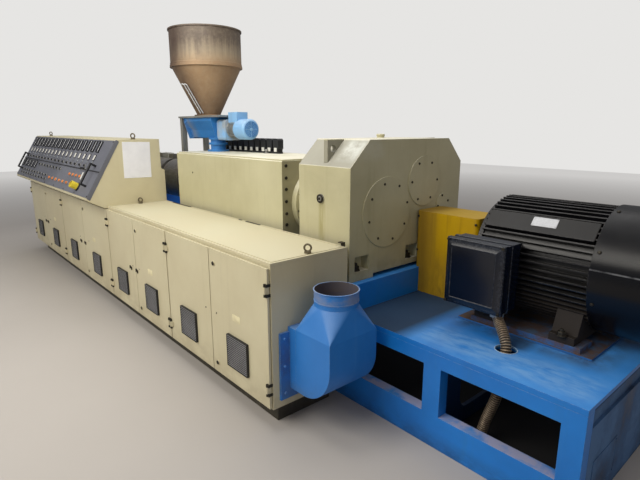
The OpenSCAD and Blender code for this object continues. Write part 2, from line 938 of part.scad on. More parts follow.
module cabinet_floor() {
    color("#a59b7c")
        block(far_x + wall_t, cabinet_y + frame_setback, cabinet_z, cabinet_x - far_x - 2 * wall_t,
            cabinet_d - wall_t - frame_setback, wall_t);
}

module cabinet_back() {
    color("#a59b7c")
        block(far_x + wall_t, cabinet_y + cabinet_d - wall_t, cabinet_z,
            cabinet_x - far_x - 2 * wall_t, wall_t, cabinet_h);
}

// The end on the motor side has the square port that the air duct blows into
module cabinet_ends() {
    port_w = duct_w - 60;
    color("#b5ab8c") {
        difference() {
            block(cabinet_x - wall_t, cabinet_y, cabinet_z, wall_t, cabinet_d, cabinet_h);
            block(cabinet_x - wall_t - 1, duct_yc - port_w / 2, duct_z + 50, wall_t + 2, port_w,
                duct_h - 100);
        }
        block(far_x, cabinet_y, cabinet_z, wall_t, cabinet_d, cabinet_h);
    }
}

module bay_dividers() {
    color("#a59b7c")
        for (i = [1:3])
            block(bay_edges[i] - divider_t / 2, cabinet_y + frame_setback, cabinet_z + wall_t, divider_t,
                cabinet_d - wall_t - frame_setback, cabinet_h - wall_t);
}

// Sheet lid over the two bays that stand clear of the console
module cabinet_lid() {
    lid_len = cabinet_x - console_x1;
    color("#e0d8b4")
        difference() {
            block(console_x1, cabinet_y, cabinet_top, lid_len, cabinet_d, lid_t);
            difference() {
                block(console_x1 + 16, cabinet_y + 14, cabinet_top + lid_t - 4, lid_len - 30,
                    cabinet_d - 28, 5);
                block(console_x1 + 24, cabinet_y + 22, cabinet_top + lid_t - 5, lid_len - 46,
                    cabinet_d - 44, 7);
            }
        }
}

module cabinet_plinth() {
    color("#4b4638")
        difference() {
            block(far_x + 60, cabinet_y + plinth_setback, 0, cabinet_x - far_x - 120,
                cabinet_d - 2 * plinth_setback, cabinet_z);
            block(far_x + 66, cabinet_y + plinth_setback + 6, -1, cabinet_x - far_x - 132,
                cabinet_d - 2 * plinth_setback - 12, cabinet_z - 5);
        }
}

// A ring bolt: collar below, ring above
module eye_bolt(x, y, z) {
    translate([x, y, z]) {
        cylinder(r = 17, h = 9);
        translate([0, 0, 27])
            rotate([90, 0, 40])
                rotate_extrude()
                    translate([17, 0])
                        circle(5);
    }
}

module lifting_eyes() {
    eye_y = cabinet_y + 250;
    color("#3b382f") {
        eye_bolt(cabinet_x - 39, eye_y, cabinet_top + lid_t);
        eye_bolt(console_x1 + 26, eye_y, cabinet_top + lid_t);
        eye_bolt(console_x1 - 24, eye_y, cabinet_top + console_h);
        eye_bolt(far_x + 90, eye_y, cabinet_top + console_h);
    }
}

// Side outline of the console in Y and Z
module console_outline() {
    back = cabinet_y + cabinet_d;
    polygon([
        [cabinet_y - 21, cabinet_top],
        [back, cabinet_top],
        [back, cabinet_top + console_back_h],
        [back - 28, cabinet_top + console_back_h + 16],
        [back - 30, cabinet_top + console_h],
        [console_top_y, cabinet_top + console_h],
        [console_lip_y, cabinet_top + console_lip_z],
        [console_lip_y + 6, cabinet_top + console_lip_z - 12]]);
}

module console_housing() {
    color("#d0c090")
        along_x(far_x, console_len)
            console_outline();
}

// Moves its children onto the sloping face: X along it, Y up it, Z out of it
module on_slope() {
    translate([far_x, console_lip_y, cabinet_top + console_lip_z])
        rotate([slope_angle, 0, 0])
            children();
}

module instrument_panel() {
    color("#4a4d58")
        on_slope()
            translate([panel_border, panel_border, 0.1])
                cube([console_len - 2 * panel_border, slope_len - 2 * panel_border, panel_t - 0.1]);
}

// A bar on two posts
module grab_handle(x, y) {
    translate([x, y, panel_t]) {
        cylinder(r = grab_r, h = grab_out);
        translate([0, grab_len, 0])
            cylinder(r = grab_r, h = grab_out);
        translate([0, 0, grab_out])
            rotate([-90, 0, 0])
                cylinder(r = grab_r, h = grab_len);
        for (end = [0, grab_len])
            translate([0, end, grab_out])
                sphere(grab_r);
    }
}

module grab_handles() {
    color("#15161a")
        on_slope()
            for (x = [160, console_len - 150])
                grab_handle(x, 100);
}

// Shallow box that the elbow stands on, open towards the cabinet
module duct_flange() {
    color("#3a78b4")
        difference() {
            union() {
                block(cabinet_x, duct_yc - duct_plate_w / 2, duct_plate_z, duct_plate_t, duct_plate_w,
                    duct_plate_h);
                block(cabinet_x, duct_yc - duct_w / 2, duct_z, duct_flange_t, duct_w, duct_h);
            }
            block(cabinet_x - 1, duct_yc - duct_w / 2 + 30, duct_z + 50, duct_flange_t + 2, duct_w - 60,
                duct_h - 100);
        }
}

// Outline of the elbow in X and Z: flat top, round outer bend at the bottom
module elbow_outline(inset) {
    x0 = 0;
    x1 = duct_len - inset;
    z0 = inset;
    z1 = duct_h;
    r = duct_bend - inset;
    translate([x0, z0 + r])
        square([x1 - x0, z1 - z0 - r]);
    translate([x0, z0])
        square([x1 - r - x0, r + 1]);
    intersection() {
        translate([x1 - r, z0 + r])
            circle(r);
        translate([x1 - r - 1, z0])
            square([r + 1, r + 1]);
    }
}

// Square elbow, square to round neck and round collar, hollow throughout
module duct_elbow() {
    neck_z = duct_z + duct_h;
    outer = collar_r + duct_wall;
    color("#3f7fc0") {
        difference() {
            translate([duct_x0, duct_yc + duct_w / 2, duct_z])
                rotate([90, 0, 0])
                    linear_extrude(duct_w)
                        elbow_outline(0);
            translate([duct_x0, duct_yc + duct_w / 2 - duct_wall, duct_z])
                rotate([90, 0, 0])
                    linear_extrude(duct_w - 2 * duct_wall)
                        translate([-1, 0])
                            elbow_outline(duct_wall);
        }
        difference() {
            hull() {
                translate([duct_x0, duct_yc - duct_w / 2, neck_z - 0.5])
                    cube([duct_len, duct_w, 1]);
                translate([duct_xc, duct_yc, neck_z + duct_neck_h - 1])
                    cylinder(r = outer, h = 1, $fn = 48);
            }
            hull() {
                translate([duct_x0 + duct_wall, duct_yc - duct_w / 2 + duct_wall, neck_z - 1])
                    cube([duct_len - 2 * duct_wall, duct_w - 2 * duct_wall, 1]);
                translate([duct_xc, duct_yc, neck_z + duct_neck_h - 1])
                    cylinder(r = collar_r + 0.5, h = 2, $fn = 48);
            }
        }
        translate([duct_xc, duct_yc, neck_z + duct_neck_h])
            difference() {
                cylinder(r = outer, h = collar_h);
                translate([0, 0, -1])
                    cylinder(r = collar_r, h = collar_h + 2);
            }
    }
}

// One leaf with its louvred vent, locks and hinge barrels.
// side is +1 where the hinge is on the leaf's +X edge and -1 on its -X edge.
module door_leaf(edge, width, side) {
    leaf_w = width / 2 - hinge_gap - seam_gap / 2;
    x0 = side > 0 ? edge - hinge_gap - leaf_w : edge + hinge_gap;
    hinge_edge = side > 0 ? x0 + leaf_w : x0;
    seam_edge = side > 0 ? x0 : x0 + leaf_w;
    leaf_h = cabinet_h - 2 * door_z_gap;
    z0 = cabinet_z + door_z_gap;
    vent_x = x0 + leaf_w / 2 - vent_w / 2;
    vent_z0 = cabinet_z + vent_z;
    blade = vent_h / vent_blades;
    difference() {
        block(x0, door_y0, z0, leaf_w, door_t, leaf_h);
        block(vent_x, door_y0 - 1, vent_z0, vent_w, door_t + 2, vent_h);
    }
    for (i = [0:vent_blades - 1])
        translate([vent_x, door_y1, vent_z0 + i * blade])
            rotate([90, 0, 90])
                linear_extrude(vent_w)
                    polygon([
                        [0, blade * 0.65],
                        [-door_t, blade * 0.1],
                        [-door_t, blade * 0.32],
                        [0, blade * 0.87]]);
    if (side > 0)
        for (z = lock_heights)
            translate([seam_edge + lock_in, door_y0, cabinet_z + z])
                rotate([90, 0, 0])
                    cylinder(r = lock_r, h = 5);
    for (z = hinge_heights)
        translate([hinge_edge - side * hinge_inset, hinge_y, cabinet_z + z - hinge_len / 2])
            difference() {
                union() {
                    cylinder(r = hinge_r, h = hinge_len);
                    translate([side > 0 ? -20 : -hinge_r, 0, 0])
                        cube([20 + hinge_r, hinge_r, hinge_len]);
                }
                translate([0, 0, -1])
                    cylinder(r = pin_r + pin_gap, h = hinge_len + 2);
            }
}

// Fixed half of a hinge: two knuckles on a bent plate, with the pin through both
module hinge_bracket(edge, side, z) {
    reach = edge == cabinet_x || edge == far_x ? 0 : frame_setback;
    leaf_edge = edge - side * hinge_gap;
    pin_x = leaf_edge - side * hinge_inset;
    plate_x = leaf_edge + side * hinge_gap / 2;
    lengths = [-hinge_len / 2 - 0.3 - knuckle_len, hinge_len / 2 + 0.3];
    for (low = lengths)
        translate([0, 0, z + low])
            linear_extrude(knuckle_len) {
                translate([pin_x, hinge_y])
                    circle(hinge_r - 0.5);
                translate([min(pin_x, plate_x) - 1.5, hinge_y - 1.5])
                    square([abs(plate_x - pin_x) + 3, 3]);
                translate([plate_x - 1.5, hinge_y - 1.5])
                    square([3, cabinet_y - hinge_y + 1.5 + reach]);
            }
    translate([pin_x, hinge_y, z + lengths[0]])
        cylinder(r = pin_r, h = hinge_len + 2 * knuckle_len + 0.6);
}

module cabinet_hinges() {
    color("#6b6553")
        for (bay = [0:3], side = [-1, 1], z = hinge_heights)
            hinge_bracket(side > 0 ? bay_edges[bay] : bay_edges[bay + 1], side, cabinet_z + z);
}

module door(index) {
    bay = floor((index - 1) / 2);
    right = index % 2 == 1;
    width = bay_edges[bay] - bay_edges[bay + 1];
    color("#b5ab8c")
        door_leaf(right ? bay_edges[bay] : bay_edges[bay + 1], width, right ? 1 : -1);
}

skid_deck();
skid_girders();
skid_crossmembers();
gearbox_pedestal();
gearbox_housing();
gearbox_lugs();
thrust_cover();
shaft_covers();
sight_plug();
lantern();
feed_housing();
feed_housing_lid();
plug_row();
barrel();
heater_bands();
barrel_supports();
outlet_flange();
hopper_shell();
hopper_table();
table_legs();
feeder_trough();
feed_throat();
feeder_drive();
coupling_guard();
motor_sole_plate();
motor_frame();
motor_end_bell();
motor_fan_cowl();
terminal_box();
motor_conduit();
cabinet_floor();
cabinet_back();
cabinet_ends();
bay_dividers();
cabinet_hinges();
cabinet_lid();
cabinet_plinth();
lifting_eyes();
console_housing();
instrument_panel();
grab_handles();
duct_flange();
duct_elbow();
door(1);  // door_1
door(2);  // door_2
door(3);  // door_3
door(4);  // door_4
door(5);  // door_5
door(6);  // door_6
door(7);  // door_7
door(8);  // door_8
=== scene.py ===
import math

import bpy
import numpy as np
from mathutils import Matrix


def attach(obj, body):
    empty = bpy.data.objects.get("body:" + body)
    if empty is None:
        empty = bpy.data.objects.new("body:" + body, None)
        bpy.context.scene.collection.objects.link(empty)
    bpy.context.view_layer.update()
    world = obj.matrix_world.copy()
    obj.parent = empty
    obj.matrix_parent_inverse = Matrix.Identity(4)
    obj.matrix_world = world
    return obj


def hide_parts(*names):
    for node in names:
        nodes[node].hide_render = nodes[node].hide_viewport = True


# Plastic extruder with its switch cabinet, console, gearbox, motor and hopper.
# Sizes in the pieces' dictionaries are millimetres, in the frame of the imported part.
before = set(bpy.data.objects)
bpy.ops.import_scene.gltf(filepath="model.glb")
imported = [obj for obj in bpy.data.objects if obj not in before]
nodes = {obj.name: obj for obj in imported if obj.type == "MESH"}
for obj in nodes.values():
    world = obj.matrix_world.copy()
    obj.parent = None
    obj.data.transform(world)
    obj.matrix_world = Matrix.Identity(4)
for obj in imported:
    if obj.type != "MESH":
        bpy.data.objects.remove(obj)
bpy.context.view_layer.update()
print("frame loaded:", len(nodes), "nodes")

origin, alongX, upward, outward = (0.0, 0.0, 0.0), (1.0, 0.0, 0.0), (0.0, 0.0, 1.0), (0.0, -1.0, 0.0)
cameraPlace = {"location": (3.6018, -2.1970, 1.4350), "pitch": 77.0, "heading": 49.03, "lens": 27.11}


def makeCamera(place):
    # Stands where the photographer stood; lens on a 36 mm wide frame, sees from 5 cm to 60 m.
    data = bpy.data.cameras.new("camera")
    data.lens, data.sensor_width = place["lens"], 36.0
    data.clip_start, data.clip_end = 0.05, 60.0
    camera = bpy.data.objects.new("camera", data)
    camera.location = place["location"]
    camera.rotation_euler = (math.radians(place["pitch"]), 0.0, math.radians(place["heading"]))
    bpy.context.scene.collection.objects.link(camera)
    bpy.context.scene.camera = camera


makeCamera(cameraPlace)


def rounded(width, height, corner, steps=4):
    # Rounded rectangle: every point is its corner's centre plus corner * (cos a, sin a).
    quarter = np.repeat(np.arange(4), steps + 1)
    angle = (quarter + np.tile(np.linspace(0.0, 1.0, steps + 1), 4)) * math.pi / 2
    middle = quarter * math.pi / 2 + math.pi / 4
    x = np.sign(np.cos(middle)) * (width / 2 - corner) + corner * np.cos(angle)
    y = np.sign(np.sin(middle)) * (height / 2 - corner) + corner * np.sin(angle)
    return np.stack([x, y], axis=1)


def ring(radius, count, turn=0.0):
    # Circle: (r cos a, r sin a) at equal angles.
    angle = np.arange(count) * 2 * math.pi / count + turn
    return np.stack([radius * np.cos(angle), radius * np.sin(angle)], axis=1)


def skin(rings, closed=False):
    # Quads between following rings, i to i + 1, wrapped round; flat caps end an open row of rings.
    rings = np.asarray(rings, float)
    rows, count = rings.shape[:2]
    i = np.arange(rows if closed else rows - 1)[:, None]
    j = np.arange(count)[None, :]
    nextRow, nextCol = (i + 1) % rows, (j + 1) % count
    quads = np.stack([i * count + j, i * count + nextCol, nextRow * count + nextCol, nextRow * count + j], axis=-1)
    faces = quads.reshape(-1, 4).tolist()
    if not closed:
        faces += [list(range(count))[::-1], list(range((rows - 1) * count, rows * count))]
    return rings.reshape(-1, 3), faces


def turned(profile, count=24, closed=False):
    # Solid of revolution about +Z: each (r, z) pair becomes a circle; a closed profile gives a ring.
    profile = np.asarray(profile, float)
    flat = profile[:, None, 0:1] * ring(1.0, count)[None, :, :]
    height = np.broadcast_to(profile[:, None, 1:2], (len(profile), count, 1))
    return skin(np.concatenate([flat, height], axis=2), closed)


def raised(width, height, corner, profile):
    # Rounded rectangle grown along +Z: each (inset, z) pair shrinks the outline by inset at that height.
    rows = []
    for inset, z in profile:
        flat = rounded(width - 2 * inset, height - 2 * inset, max(corner - inset, 0.4))
        rows.append(np.column_stack([flat, np.full(len(flat), z)]))
    return skin(np.array(rows))


def slab(width, height, corner, low, wall, edge, top):
    # Rounded block from low up to top, chamfered by edge above its wall.
    return raised(width, height, corner, [(0, low), (0, wall), (edge, top)])


def frameOf(normal, up=upward):
    # Three axes: z along the normal, y as near to up as it can be, x across them.
    z = np.asarray(normal, float) / np.linalg.norm(normal)
    x = np.cross(up, z)
    if np.linalg.norm(x) < 1e-6:
        x = np.cross((0.0, 1.0, 0.0), z)
    x = x / np.linalg.norm(x)
    return np.stack([x, np.cross(z, x), z])


def placed(shape, places, normal, up=upward):
    # Copies of one shape: point = place + x * xAxis + y * yAxis + z * normal, for every place at once.
    points, faces = shape
    places = np.atleast_2d(np.asarray(places, float))
    moved = (points @ frameOf(normal, up))[None, :, :] + places[:, None, :]
    allFaces = [[corner + k * len(points) for corner in face] for k in range(len(places)) for face in faces]
    return moved.reshape(-1, 3), allFaces


def joined(*shapes):
    # Several shapes as one: their points in a row, the face numbers moved on.
    points, faces, start = [], [], 0
    for shapePoints, shapeFaces in shapes:
        points.append(shapePoints)
        faces += [[corner + start for corner in face] for face in shapeFaces]
        start += len(shapePoints)
    return np.concatenate(points), faces


def assembled(parts, normal=upward):
    # Parts as (maker, its sizes, places), every copy turned the same way.
    return joined(*[placed(make(*sizes), places, normal) for make, sizes, places in parts])


def pipe(path, radius, count=12, up=upward):
    # Round bar along a path: a circle stands across the path's direction at each point.
    path = np.asarray(path, float)
    along = np.gradient(path, axis=0)
    along = along / np.linalg.norm(along, axis=1, keepdims=True)
    side = np.cross(along, np.asarray(up, float))
    side = side / np.linalg.norm(side, axis=1, keepdims=True)
    over = np.cross(side, along)
    circle = ring(1.0, count)
    radius = np.broadcast_to(np.asarray(radius, float), (len(path),))[:, None, None]
    rings = path[:, None, :] + radius * (circle[None, :, 0:1] * side[:, None, :]
                                         + circle[None, :, 1:2] * over[:, None, :])
    points, faces = skin(rings)
    return points, [face[::-1] for face in faces]


def curveThrough(points, count):
    # Smooth path through given points: a Catmull-Rom blend, evaluated for all steps at once.
    p = np.asarray(points, float)
    p = np.concatenate([2 * p[:1] - p[1:2], p, 2 * p[-1:] - p[-2:-1]])
    t = np.linspace(0, len(p) - 3 - 1e-9, count)
    k = t.astype(int)
    u = (t - k)[:, None]
    a, b, c, d = p[k], p[k + 1], p[k + 2], p[k + 3]
    return 0.5 * (2 * b + (c - a) * u + (2 * a - 5 * b + 4 * c - d) * u ** 2
                  + (3 * b - a - 3 * c + d) * u ** 3)


def piece(name, shape, finish, body="machine", slot=None, smooth=30.0):
    # Puts a shape into a mesh at its place in metres, shades it and lets it ride on its body.
    points, faces = shape
    mesh = bpy.data.meshes.new(name)
    mesh.from_pydata((np.asarray(points) * 0.001).tolist(), [], faces)
    mesh.validate()
    mesh.materials.append(finish)
    mesh.polygons.foreach_set("use_smooth", [True] * len(mesh.polygons))
    mesh.set_sharp_from_angle(angle=math.radians(smooth))
    mesh.update()
    thing = bpy.data.objects.new(name, mesh)
    bpy.context.scene.collection.objects.link(thing)
    slot = slot or slotOf[finish.name]
    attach(thing, body)
    return thing


def linear(text):
    # sRGB hex to linear: c / 12.92 below 0.04045, else ((c + 0.055) / 1.055) to the power 2.4.
    channels = [int(text[k:k + 2], 16) / 255.0 for k in (1, 3, 5)]
    return tuple(c / 12.92 if c <= 0.04045 else ((c + 0.055) / 1.055) ** 2.4 for c in channels) + (1.0,)


def add(tree, kind, inputs=None, **settings):
    # Adds one shader node with its settings; each input is a value or another node's output.
    node = tree.nodes.new("ShaderNode" + kind)
    for key, value in settings.items():
        setattr(node, key, value)
    for key, value in (inputs or {}).items():
        if isinstance(value, bpy.types.NodeSocket):
            tree.links.new(value, node.inputs[key])
        else:
            node.inputs[key].default_value = value
    return node


def startMaterial(name):
    # A material with an empty node tree, and the object's own coordinates to lay patterns out in.
    material = bpy.data.materials.new(name)
    material.use_nodes = True
    tree = material.node_tree
    tree.nodes.clear()
    return material, tree, add(tree, "TexCoord").outputs["Object"]


def finishMaterial(tree, inputs):
    # One principled shader on the surface.
    shader = add(tree, "BsdfPrincipled", inputs)
    add(tree, "OutputMaterial", {"Surface": shader.outputs["BSDF"]})


def ramp(tree, value, low, high, start=0.0, end=1.0):
    # Straight line from low..high onto start..end, held at both ends.
    return add(tree, "MapRange", {"Value": value, "From Min": low, "From Max": high,
                                  "To Min": start, "To Max": end}).outputs["Result"]


def blend(tree, factor, first, second):
    # Mix of two colours: first * (1 - factor) + second * factor.
    return add(tree, "Mix", {"Factor": factor, 6: first, 7: second}, data_type="RGBA").outputs[2]


def maths(tree, operation, *values):
    # One step of arithmetic on numbers.
    return add(tree, "Math", dict(enumerate(values)), operation=operation).outputs[0]


def times(tree, first, second):
    # Product: first * second.
    return maths(tree, "MULTIPLY", first, second)


def vectors(tree, operation, first, second=(0.0, 0.0, 0.0)):
    # One step of arithmetic on vectors that gives a number.
    return add(tree, "VectorMath", {0: first, 1: second}, operation=operation).outputs["Value"]


def axisOf(tree, vector, axis):
    # One coordinate of a vector.
    return add(tree, "SeparateXYZ", {"Vector": vector}).outputs[axis]


def patch(tree, place, scale, detail=4.0, rough=0.6):
    # Cloudy noise; scale is patches per metre, three numbers stretch it along the axes.
    if isinstance(scale, tuple):
        place, scale = add(tree, "Mapping", {"Vector": place, "Scale": scale}).outputs[0], 1.0
    return add(tree, "TexNoise", {"Vector": place, "Scale": scale, "Detail": detail,
                                  "Roughness": rough}).outputs["Fac"]


def softened(tree, radius):
    # Normal of the surface with its edges rolled over by a radius.
    return add(tree, "Bevel", {"Radius": radius}, samples=4).outputs[0]


def bumped(tree, strength, distance, height, **normal):
    # Normal tilted by the slope of a height pattern.
    return add(tree, "Bump", {"Strength": strength, "Distance": distance, "Height": height, **normal}).outputs[0]


def area(colour, amount, soft=0.01, fray=None, tops=False, disc=None, **box):
    # One zone of a finish in metres: ranges of X, Y and Z with a soft edge, or a disc as x, y and radius.
    return {"colour": colour, "amount": amount, "soft": soft, "fray": fray, "tops": tops, "disc": disc, "box": box}


def zone(tree, place, facing, spot):
    # Soft mask of one zone: along each given axis it rises over the low end and falls over the high end;
    # or it lies within a radius of an upright axis. Cloudy noise frays it.
    soft, mask = spot["soft"], spot["amount"]
    for axis, (low, high) in spot["box"].items():
        along = axisOf(tree, place, axis)
        mask = times(tree, ramp(tree, along, low - soft, low + soft), mask)
        mask = times(tree, ramp(tree, along, high - soft, high + soft, 1.0, 0.0), mask)
    if spot["disc"]:
        x, y, radius = spot["disc"]
        flat = add(tree, "VectorMath", {0: place, 1: (1.0, 1.0, 0.0)}, operation="MULTIPLY").outputs[0]
        away = vectors(tree, "DISTANCE", flat, (x, y, 0.0))
        mask = times(tree, ramp(tree, away, radius - 0.0004, radius + 0.0004, 1.0, 0.0), mask)
    if spot["fray"]:
        mask = times(tree, ramp(tree, patch(tree, place, spot["fray"], 5.0, 0.65), 0.36, 0.58), mask)
    if spot["tops"]:
        mask = times(tree, ramp(tree, facing, 0.5, 0.9), mask)
    return mask


# What an enamel has where its own dictionary says nothing else: noises as scale, detail and roughness,
# amounts from 0 to 1, the worn edge in metres. Colours are base, dark, dust, chip and runs.
enamelLook = {
    "cloud": (1.6, 5.0, 0.62), "streaks": ((22.0, 22.0, 1.4), 3.0, 0.6), "runs": 0.25, "dustScale": 3.2,
    "dust": 0.5, "dustLow": 0.1, "fine": (85.0, 4.0, 0.7), "chipFrom": 0.74, "edge": 0.003, "rub": 0.5,
    "rough": 0.42, "roughDust": 0.75, "peel": 240.0, "bump": 0.06, "specular": 0.5, "zones": ()}


def paintedMetal(name, look):
    # Sprayed enamel on steel: slightly uneven colour, orange-peel gloss, dust that settles on top,
    # runs down the sides, small chips and rubbed edges.
    look = {**enamelLook, **look}
    base, dark, dustColour, chip, runColour = [linear(text) for text in look["colours"].split()]
    material, tree, place = startMaterial(name)
    geometry = add(tree, "NewGeometry").outputs
    soft = softened(tree, look["edge"])
    facing = axisOf(tree, geometry["Normal"], "Z")
    cloud = patch(tree, place, *look["cloud"])
    colour = blend(tree, ramp(tree, cloud, 0.35, 0.65), dark, base)
    sides = ramp(tree, maths(tree, "ABSOLUTE", facing), 0.0, 0.5, 1.0, 0.0)
    streaks = ramp(tree, patch(tree, place, *look["streaks"]), 0.56, 0.78, 0.0, look["runs"])
    colour = blend(tree, times(tree, streaks, sides), colour, runColour)
    dust = ramp(tree, patch(tree, place, look["dustScale"], 6.0, 0.68), 0.32, 0.68, look["dustLow"], look["dust"])
    dirtAndPaintedLight = times(tree, ramp(tree, facing, 0.25, 0.8), dust)
    colour = blend(tree, dirtAndPaintedLight, colour, dustColour)
    # Zones: stains and dust, and on several finishes painted shade, painted shadow or a painted highlight; each mask
    # also roughens like dust.
    for spot in look["zones"]:
        mask = zone(tree, place, facing, spot)
        colour = blend(tree, mask, colour, linear(spot["colour"]))
        dirtAndPaintedLight = maths(tree, "MAXIMUM", dirtAndPaintedLight, mask)
    fine = patch(tree, place, *look["fine"])
    chips = times(tree, ramp(tree, fine, look["chipFrom"], look["chipFrom"] + 0.02), ramp(tree, cloud, 0.45, 0.6))
    bend = vectors(tree, "DOT_PRODUCT", soft, geometry["True Normal"])
    rubbed = times(tree, ramp(tree, bend, 0.985, 0.9), ramp(tree, fine, 0.44, 0.6, 0.0, look["rub"]))
    colour = blend(tree, maths(tree, "MAXIMUM", chips, rubbed), colour, chip)
    peel = patch(tree, place, look["peel"], 2.0, 0.5)
    rough = ramp(tree, dirtAndPaintedLight, 0.0, 0.6, look["rough"], look["roughDust"])
    bump = bumped(tree, look["bump"], 0.001, peel, Normal=soft)
    finishMaterial(tree, {"Base Color": colour, "Roughness": rough, "Normal": bump,
                          "Specular IOR Level": look["specular"]})
    return material


def bareMetal(name, look):
    # Machined or rolled steel left bare: metallic, fine brush lines one way, brown stains. Colours are
    # base, dark and stain; a groove's colour shows as deep as the piece's points say.
    base, dark, stainColour = [linear(text) for text in look["colours"].split()]
    material, tree, place = startMaterial(name)
    brush = patch(tree, place, look.get("brush", (300.0, 300.0, 12.0)), 3.0, 0.6)
    cloud = patch(tree, place, 7.0, 5.0, 0.65)
    stain = ramp(tree, cloud, 0.5, 0.72, 0.0, look["stain"])
    colour = blend(tree, stain, blend(tree, ramp(tree, brush, 0.3, 0.7), dark, base), stainColour)
    if "groove" in look:
        groove = add(tree, "Attribute", attribute_name="groove").outputs["Fac"]
        colour = blend(tree, groove, colour, linear(look["groove"]))
    finishMaterial(tree, {"Base Color": colour,
                          "Metallic": ramp(tree, stain, 0.0, 0.6, look["metal"], look["metal"] * 0.35),
                          "Roughness": ramp(tree, cloud, 0.3, 0.7, look["rough"], look["rough"] + 0.25),
                          "Normal": bumped(tree, 0.12, 0.0006, brush, Normal=softened(tree, 0.0015))})
    return material


def plainPlastic(name, base, dark, rough):
    # Moulded plastic: one colour through, faint mottling and a fine matt grain.
    material, tree, place = startMaterial(name)
    cloud = patch(tree, place, 14.0)
    grain = patch(tree, place, 900.0, 2.0, 0.5)
    finishMaterial(tree, {"Base Color": blend(tree, ramp(tree, cloud, 0.3, 0.7), linear(dark), linear(base)),
                          "Roughness": ramp(tree, cloud, 0.3, 0.7, rough, rough + 0.12),
                          "Normal": bumped(tree, 0.08, 0.0004, grain, Normal=softened(tree, 0.001))})
    return material


# Cream enamel on folded sheet steel: satin, yellowed, light dust on the tops, brown smears low down,
# and painted shade on the lower part of the cabinet's end beside the duct.
creamEnamel = paintedMetal("cream_enamel", {
    "colours": "#D0C8A8 #C6BC9B #C6C1A6 #857A62 #A59A7C", "dust": 0.75, "dustLow": 0.3, "runs": 0.14,
    "rub": 0.22, "chipFrom": 0.79,
    "zones": [area("#94886F", 0.42, 0.1, (5, 5, 9), Z=(-0.1, 0.2)),
              # Painted shade on the lower part of the cabinet's end face, beside the duct.
              area("#7E7462", 0.3, 0.12, (4, 4, 3), X=(1.882, 1.9), Z=(-0.1, 0.5))]})
# The same enamel on gear case and screw case: greener and oilier, an oil streak under the sight plug, a grey
# slant with a painted highlight on its right part, and painted shade on the screw case's end by the gear case.
caseEnamel = paintedMetal("case_enamel", {
    "colours": "#C2BD9B #B3AD8A #EFECDD #6E6750 #918960", "dust": 0.9, "dustLow": 0.4, "runs": 0.26,
    "rough": 0.38, "rub": 0.35, "edge": 0.004, "bump": 0.1,
    "zones": [area("#8E8340", 0.55, 0.012, (55, 55, 4), X=(1.622, 1.668), Y=(-0.6, -0.47), Z=(0.72, 1.04)),
              area("#85847B", 0.75, 0.002, X=(1.44, 1.861), Y=(-0.5, -0.24), Z=(1.242, 1.376)),
              # Painted highlight on the right part of the gear case's slant.
              area("#D3D6CF", 0.75, 0.02, 11, X=(1.72, 1.856), Y=(-0.5, -0.24), Z=(1.28, 1.376)),
              area("#7F7A62", 0.4, 0.06, (4, 4, 7), X=(1.44, 1.861), Y=(-0.5, -0.47), Z=(1.1, 1.242)),
              # Painted shade on the screw case's end face, between it and the gear case.
              area("#6E6850", 0.5, 0.0003, X=(1.2865, 1.288)),
              area("#6B5C40", 0.5, 0.05, (7, 7, 6), X=(1.84, 1.9), Z=(0.6, 0.74)),
              area("#8C8190", 0.25, 0.05, 5, Y=(-0.6, -0.47), Z=(0.72, 0.86))]})
# Inside of the cabinet: the same cream, in the shade and less rubbed.
insideEnamel = paintedMetal("inside_enamel", {
    "colours": "#A89F80 #8F876B #A79F86 #6B6350 #8F876B", "rough": 0.5, "rub": 0.1})
# Blue machine enamel on welded plate: glossy below a coat of pale grey dust, scraped on top, with
# lilac-grey dust on the window sills, oil and a painted shadow under the motor, a dark patch by the conduit,
# painted shadow with grime on the deck by the gear case and guard, and painted shade inside the skid.
blueEnamel = paintedMetal("blue_enamel", {
    "colours": "#1B84E0 #136EC4 #55A2EA #9DB6C8 #2F7CBD", "dust": 0.7, "dustScale": 2.2, "runs": 0.3,
    "rough": 0.36, "rub": 0.4, "edge": 0.004,
    "zones": [area("#A9A9C6", 0.9, 0.01, 9, True, Z=(0.1, 0.2)),
              # Oil and painted shadow under the motor; painted shadow with grime by the gear case and guard; a dark
              # patch by the conduit.
              area("#39434F", 0.85, 0.05, 6, True, X=(2.3, 3.0), Y=(-0.19, 0.5), Z=(0.2, 0.9)),
              area("#13202C", 0.9, 0.05, None, True, X=(1.8, 2.26), Y=(-0.6, 0.7), Z=(0.2, 0.56)),
              area("#24405E", 0.8, 0.025, None, True, X=(2.6, 2.72), Y=(-0.26, -0.14), Z=(0.2, 0.9)),
              area("#1D3450", 0.5, 0.04, (6, 6, 12), Z=(-0.1, 0.05)),
              area("#92C0EA", 0.38, 0.04, (9, 27, 9), True, X=(2.3, 3.06), Y=(-0.48, -0.28), Z=(0.2, 0.9)),
              # Painted shade on the inside faces of the skid.
              area("#142C48", 0.85, 0.002, Y=(-0.465, 0.465), Z=(0.005, 0.47))]})
# The same enamel on the cross plates, end plates and drip pan: brown with oil and darkened by painted shade
# inside, dusty outside, with painted shade and dirt on the top band of the skid's end.
grimyShadedEnamel = paintedMetal("grimy_shaded_blue_enamel", {
    "colours": "#1A4474 #13345A #3B4452 #6E7F90 #3A3C42", "dust": 0.6, "runs": 0.5, "rough": 0.45,
    "rub": 0.3,
    "zones": [area("#1C1813", 0.95, 0.004, Z=(-0.1, 0.012)),
              area("#4A72A2", 0.9, 0.0005, 3, X=(3.0765, 3.2)),
              area("#3F5E84", 0.8, 0.0005, 3, X=(-3.2, -3.0765)),
              # Painted shade with dirt on the top band of the skid's end.
              area("#45433A", 0.9, 0.0005, X=(3.04, 3.0765), Z=(0.391, 0.5))]})
